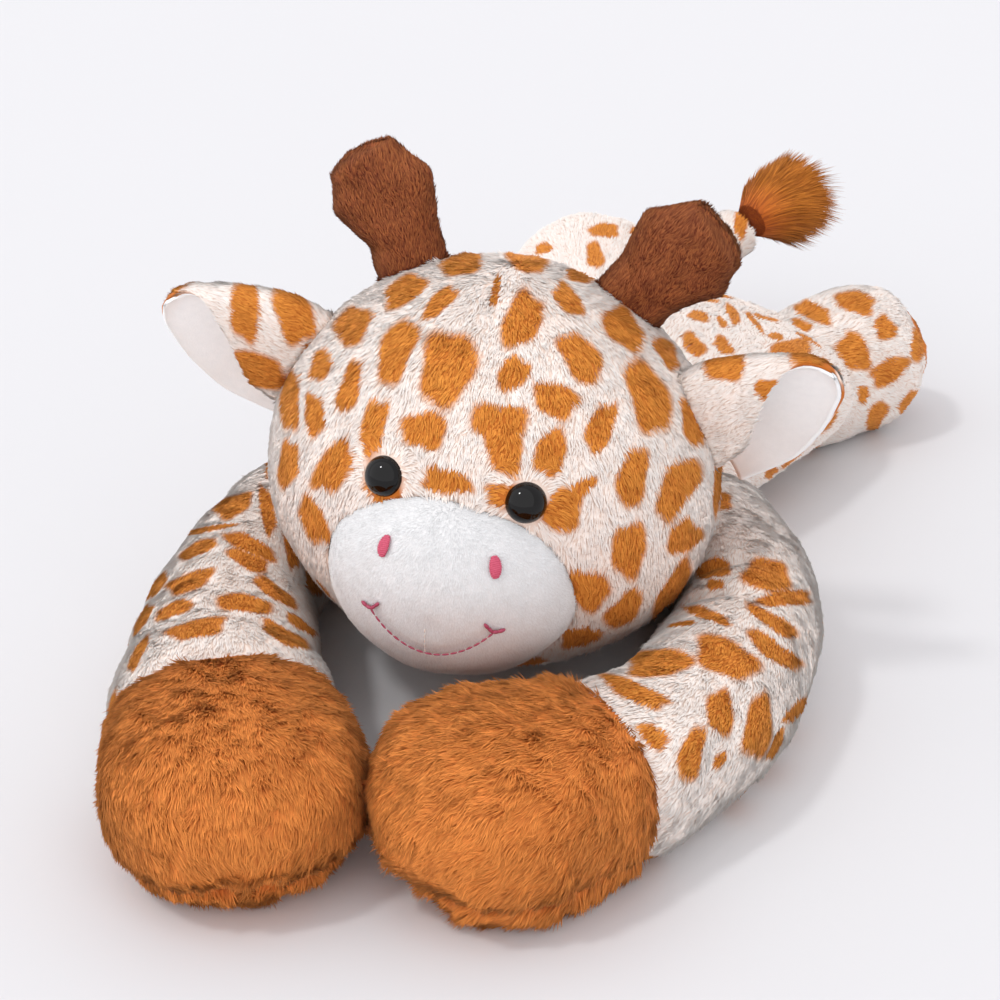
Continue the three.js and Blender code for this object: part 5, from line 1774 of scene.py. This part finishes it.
@dataclass(frozen=True)
class Tail:
    """The tail's stem, and the tuft of long pile at its end."""

    stops: tuple[tuple[float, float, float], ...] = ((-14, 106, 57), (-10, 148, 73), (3, 176, 82))
    radius: float = 14.0
    tuft_length: float = 54.0
    tuft_radius: float = 23.0
    comb_onward: float = 1.8
    swing: float = 15.0

    def tube(self) -> Tube:
        """The stem's form."""
        stops = [np.array(stop, float) for stop in self.stops]
        away = unit(stops[0] - stops[1]) * self.radius
        return Tube(path=[stops[0] + away, *stops], girths=[(self.radius, self.radius)] * 4,
                    start_round=self.radius, end_round=self.radius / 2, rings=30, sides=40)

    def build(self, cloths: Cloths) -> list[Piece]:
        """Make the stem and the tuft."""
        tube = self.tube()
        stops = [np.array(stop, float) for stop in self.stops]
        ahead = unit(stops[-1] - stops[-2])
        seam = stops[-1] - ahead * self.radius
        form = tube.solid(SHORT_PILE.sink)
        stem = form.make("tail_plush")
        keep_side(stem, seam, ahead, Cutting.BEHIND)
        start = seam + SEAM_GAP * ahead
        core = Tube(path=[start + ahead * self.tuft_length * share for share in (0, 0.3, 0.7, 1)],
                    girths=[(r, r) for r in (self.radius, self.tuft_radius, self.tuft_radius, self.radius)],
                    start_round=2.0, end_round=self.tuft_radius, rings=20, sides=36)
        tuft = core.solid(TUFT_PILE.sink).make("tail_tuft_backing")

        def fan(rows: Rows) -> Rows:
            """The pile runs on along the tail and spreads from its middle."""
            return self.comb_onward * ahead + unit(across(rows - start, all_along(ahead)(rows)))

        return [
            cloths.spotted_piece("tail_plush", "tail", ("tail_cover", "tail_filling"), stem,
                                 comb=all_along(ahead), uncut=form.tree()),
            Piece("tail_tuft_backing", "tail", "tuft_pile", ("tail_tuft",), tuft, cloths.tuft, cloths.tuft,
                  TUFT_PILE, comb=fan, hangs=True),
        ]


FORELEGS = (
    Foreleg(Side.LEFT, ((98, -134), (109, -196), (98, -256), (59, -306)), elbow_folds=(112.0, 136.0)),
    Foreleg(Side.RIGHT, ((102, -130), (104, -202), (75, -277), (35, -338)), wrist=42.0),
)
HIND_LEGS = (HindLeg(Side.LEFT, (77, 118), -1), HindLeg(Side.RIGHT, (84, 161), 1, foot_half_width=46.0))
TAIL = Tail()


@dataclass(frozen=True)
class Body:
    """The pear-shaped body, lying on its belly."""

    # Place along the body, half width and height, from the chest to the rump
    stations: tuple[tuple[float, float, float], ...] = (
        (-122, 44, 78), (-90, 58, 88), (-40, 68, 92), (10, 84, 92), (55, 93, 82), (95, 76, 70), (128, 50, 56))
    round: float = 36.0
    squareness: float = 2.1
    socket_overlap: float = 0.4
    neck_room: float = 0.6
    comb: tuple[float, float, float] = (0.0, 1.0, -0.45)
    density: float = 1.0  # of the pile, thinner than elsewhere because the head hides most of it

    def tube(self) -> Tube:
        """The body's form."""
        return Tube(path=[(0.0, y, h / 2 - FLOOR_CUT) for y, _, h in self.stations],
                    girths=[(w, h / 2, self.squareness) for _, w, h in self.stations], start_round=self.round,
                    end_round=self.round, rings=84, sides=88)

    def build(self, cloths: Cloths) -> list[Piece]:
        """Make the body's piece."""
        form = self.tube().solid(SHORT_PILE.sink)
        cover = form.make("body_plush")

        def sag(rows: Rows) -> np.ndarray:
            """Wide soft bumps."""
            return lumps(rows, height=1.2, size=60, seed=50)

        swell(cover, sag)
        into = SHORT_PILE.sink - self.socket_overlap
        neck = Neck().outer + self.neck_room - into
        cuts = [ball(lambda d: np.full(len(d), neck)).moved(np.eye(3), np.array(SHAPE.place))]
        for leg in FORELEGS:
            cuts.append(leg.tube().solid(into))
        for leg in HIND_LEGS:
            turns = (0, leg.swing / 2, leg.swing)
            cuts += [leg.tube().turned(leg.outward * turn).solid(into) for turn in turns]
        cuts += [TAIL.tube().turned(turn).solid(into) for turn in (-TAIL.swing, 0, TAIL.swing)]
        carve(cover, cuts)
        return [cloths.spotted_piece("body_plush", "torso", ("body_cover", "body_filling"), cover,
                                     pile=replace(SHORT_PILE, density=self.density),
                                     comb=all_along(self.comb), uncut=deep_tree(form, sag), parts=2)]


def dress_kept_nodes(frame: dict, cloths: Cloths) -> None:
    """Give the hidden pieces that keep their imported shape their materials."""
    finishes = {"washer": cloths.washer, "pouch": cloths.cotton, "beads": cloths.beads}
    for name, node in frame["nodes"].items():
        for word, material in finishes.items():
            if name.endswith(word):
                node.data.materials.clear()
                node.data.materials.append(material)


@dataclass(frozen=True)
class Lamp:
    """A soft distant lamp: where it shines from, how many degrees wide it is, and its strength."""

    name: str
    place: tuple[float, float, float]
    softness: float
    power: float

    def make(self) -> None:
        """Create the lamp."""
        data = bpy.data.lights.new(self.name, "SUN")
        data.angle = math.radians(self.softness)
        data.energy = self.power
        lamp = bpy.data.objects.new(self.name, data)
        lamp.location = self.place
        lamp.rotation_euler = Vector(self.place).to_track_quat("Z", "Y").to_euler()
        bpy.context.scene.collection.objects.link(lamp)


@dataclass(frozen=True)
class Studio:
    """A pale floor and soft light."""

    world: float = 1.0
    sky: str = "#F2F1F4"
    floor: float = 8.0  # metres along each side
    lamps: tuple[Lamp, ...] = (
        Lamp("key", (-0.5, -0.6, 1.3), 7.0, 0.6), Lamp("front", (-0.2, -1.5, 0.75), 140.0, 1.2))

    def build(self, cloths: Cloths) -> None:
        """Make the floor, the lamps and the surrounding light."""
        half = self.floor / 2 / MM
        corners = np.array([(-half, -half, 0), (half, -half, 0), (half, half, 0), (-half, half, 0)], float)
        floor = Solid(corners, [(0, 1, 2, 3)]).make("studio_floor")
        floor.data.materials.append(cloths.floor)
        for lamp in self.lamps:
            lamp.make()
        world = bpy.data.worlds.new("studio")
        world.use_nodes = True
        tree = world.node_tree
        tree.nodes.clear()
        light = add(tree, "ShaderNodeBackground",
                    inputs={"Color": to_linear(self.sky), "Strength": self.world})
        add(tree, "ShaderNodeOutputWorld", inputs={"Surface": light.outputs[0]})
        bpy.context.scene.world = world
        bpy.context.scene.view_settings.view_transform = "Standard"


def main() -> None:
    """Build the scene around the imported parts."""
    logging.basicConfig(level=logging.INFO, format="%(name)s: %(message)s")
    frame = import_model()
    cloths = Cloths()
    pieces, threads = Face().build(cloths)
    pieces += Horn(Side.LEFT, lean=23, bend=16, back=-10).build(cloths)
    pieces += Horn(Side.RIGHT, lean=15, bend=14, back=-2).build(cloths)
    pieces += Ear(Side.LEFT, lift=42, elevation=16, spread=1).build(cloths)
    pieces += Ear(Side.RIGHT, lift=27, elevation=12.5, spread=1.18).build(cloths)
    ring, closing = Neck().build(cloths)
    pieces += ring
    threads += closing
    pieces += Body().build(cloths)
    for leg in (*FORELEGS, *HIND_LEGS):
        pieces += leg.build(cloths)
    pieces += TAIL.build(cloths)
    for piece in pieces:
        piece.prepare()
    spots = Print()
    printed = {p.name: p.thing for p in pieces if p.slot == "spotted_plush"}
    spots.lay(printed, {p.name: p.thing for p in pieces if p.name not in printed})
    strands = pile_tree()
    for number, piece in enumerate(pieces):
        piece.finish(strands, spots, 100 * (number + 1))
    stitches = stitch_tree()
    for thread in threads:
        thread.finish(stitches)
    dress_kept_nodes(frame, cloths)
    Studio().build(cloths)
    VIEW.make()


if __name__ == "__main__":
    main()
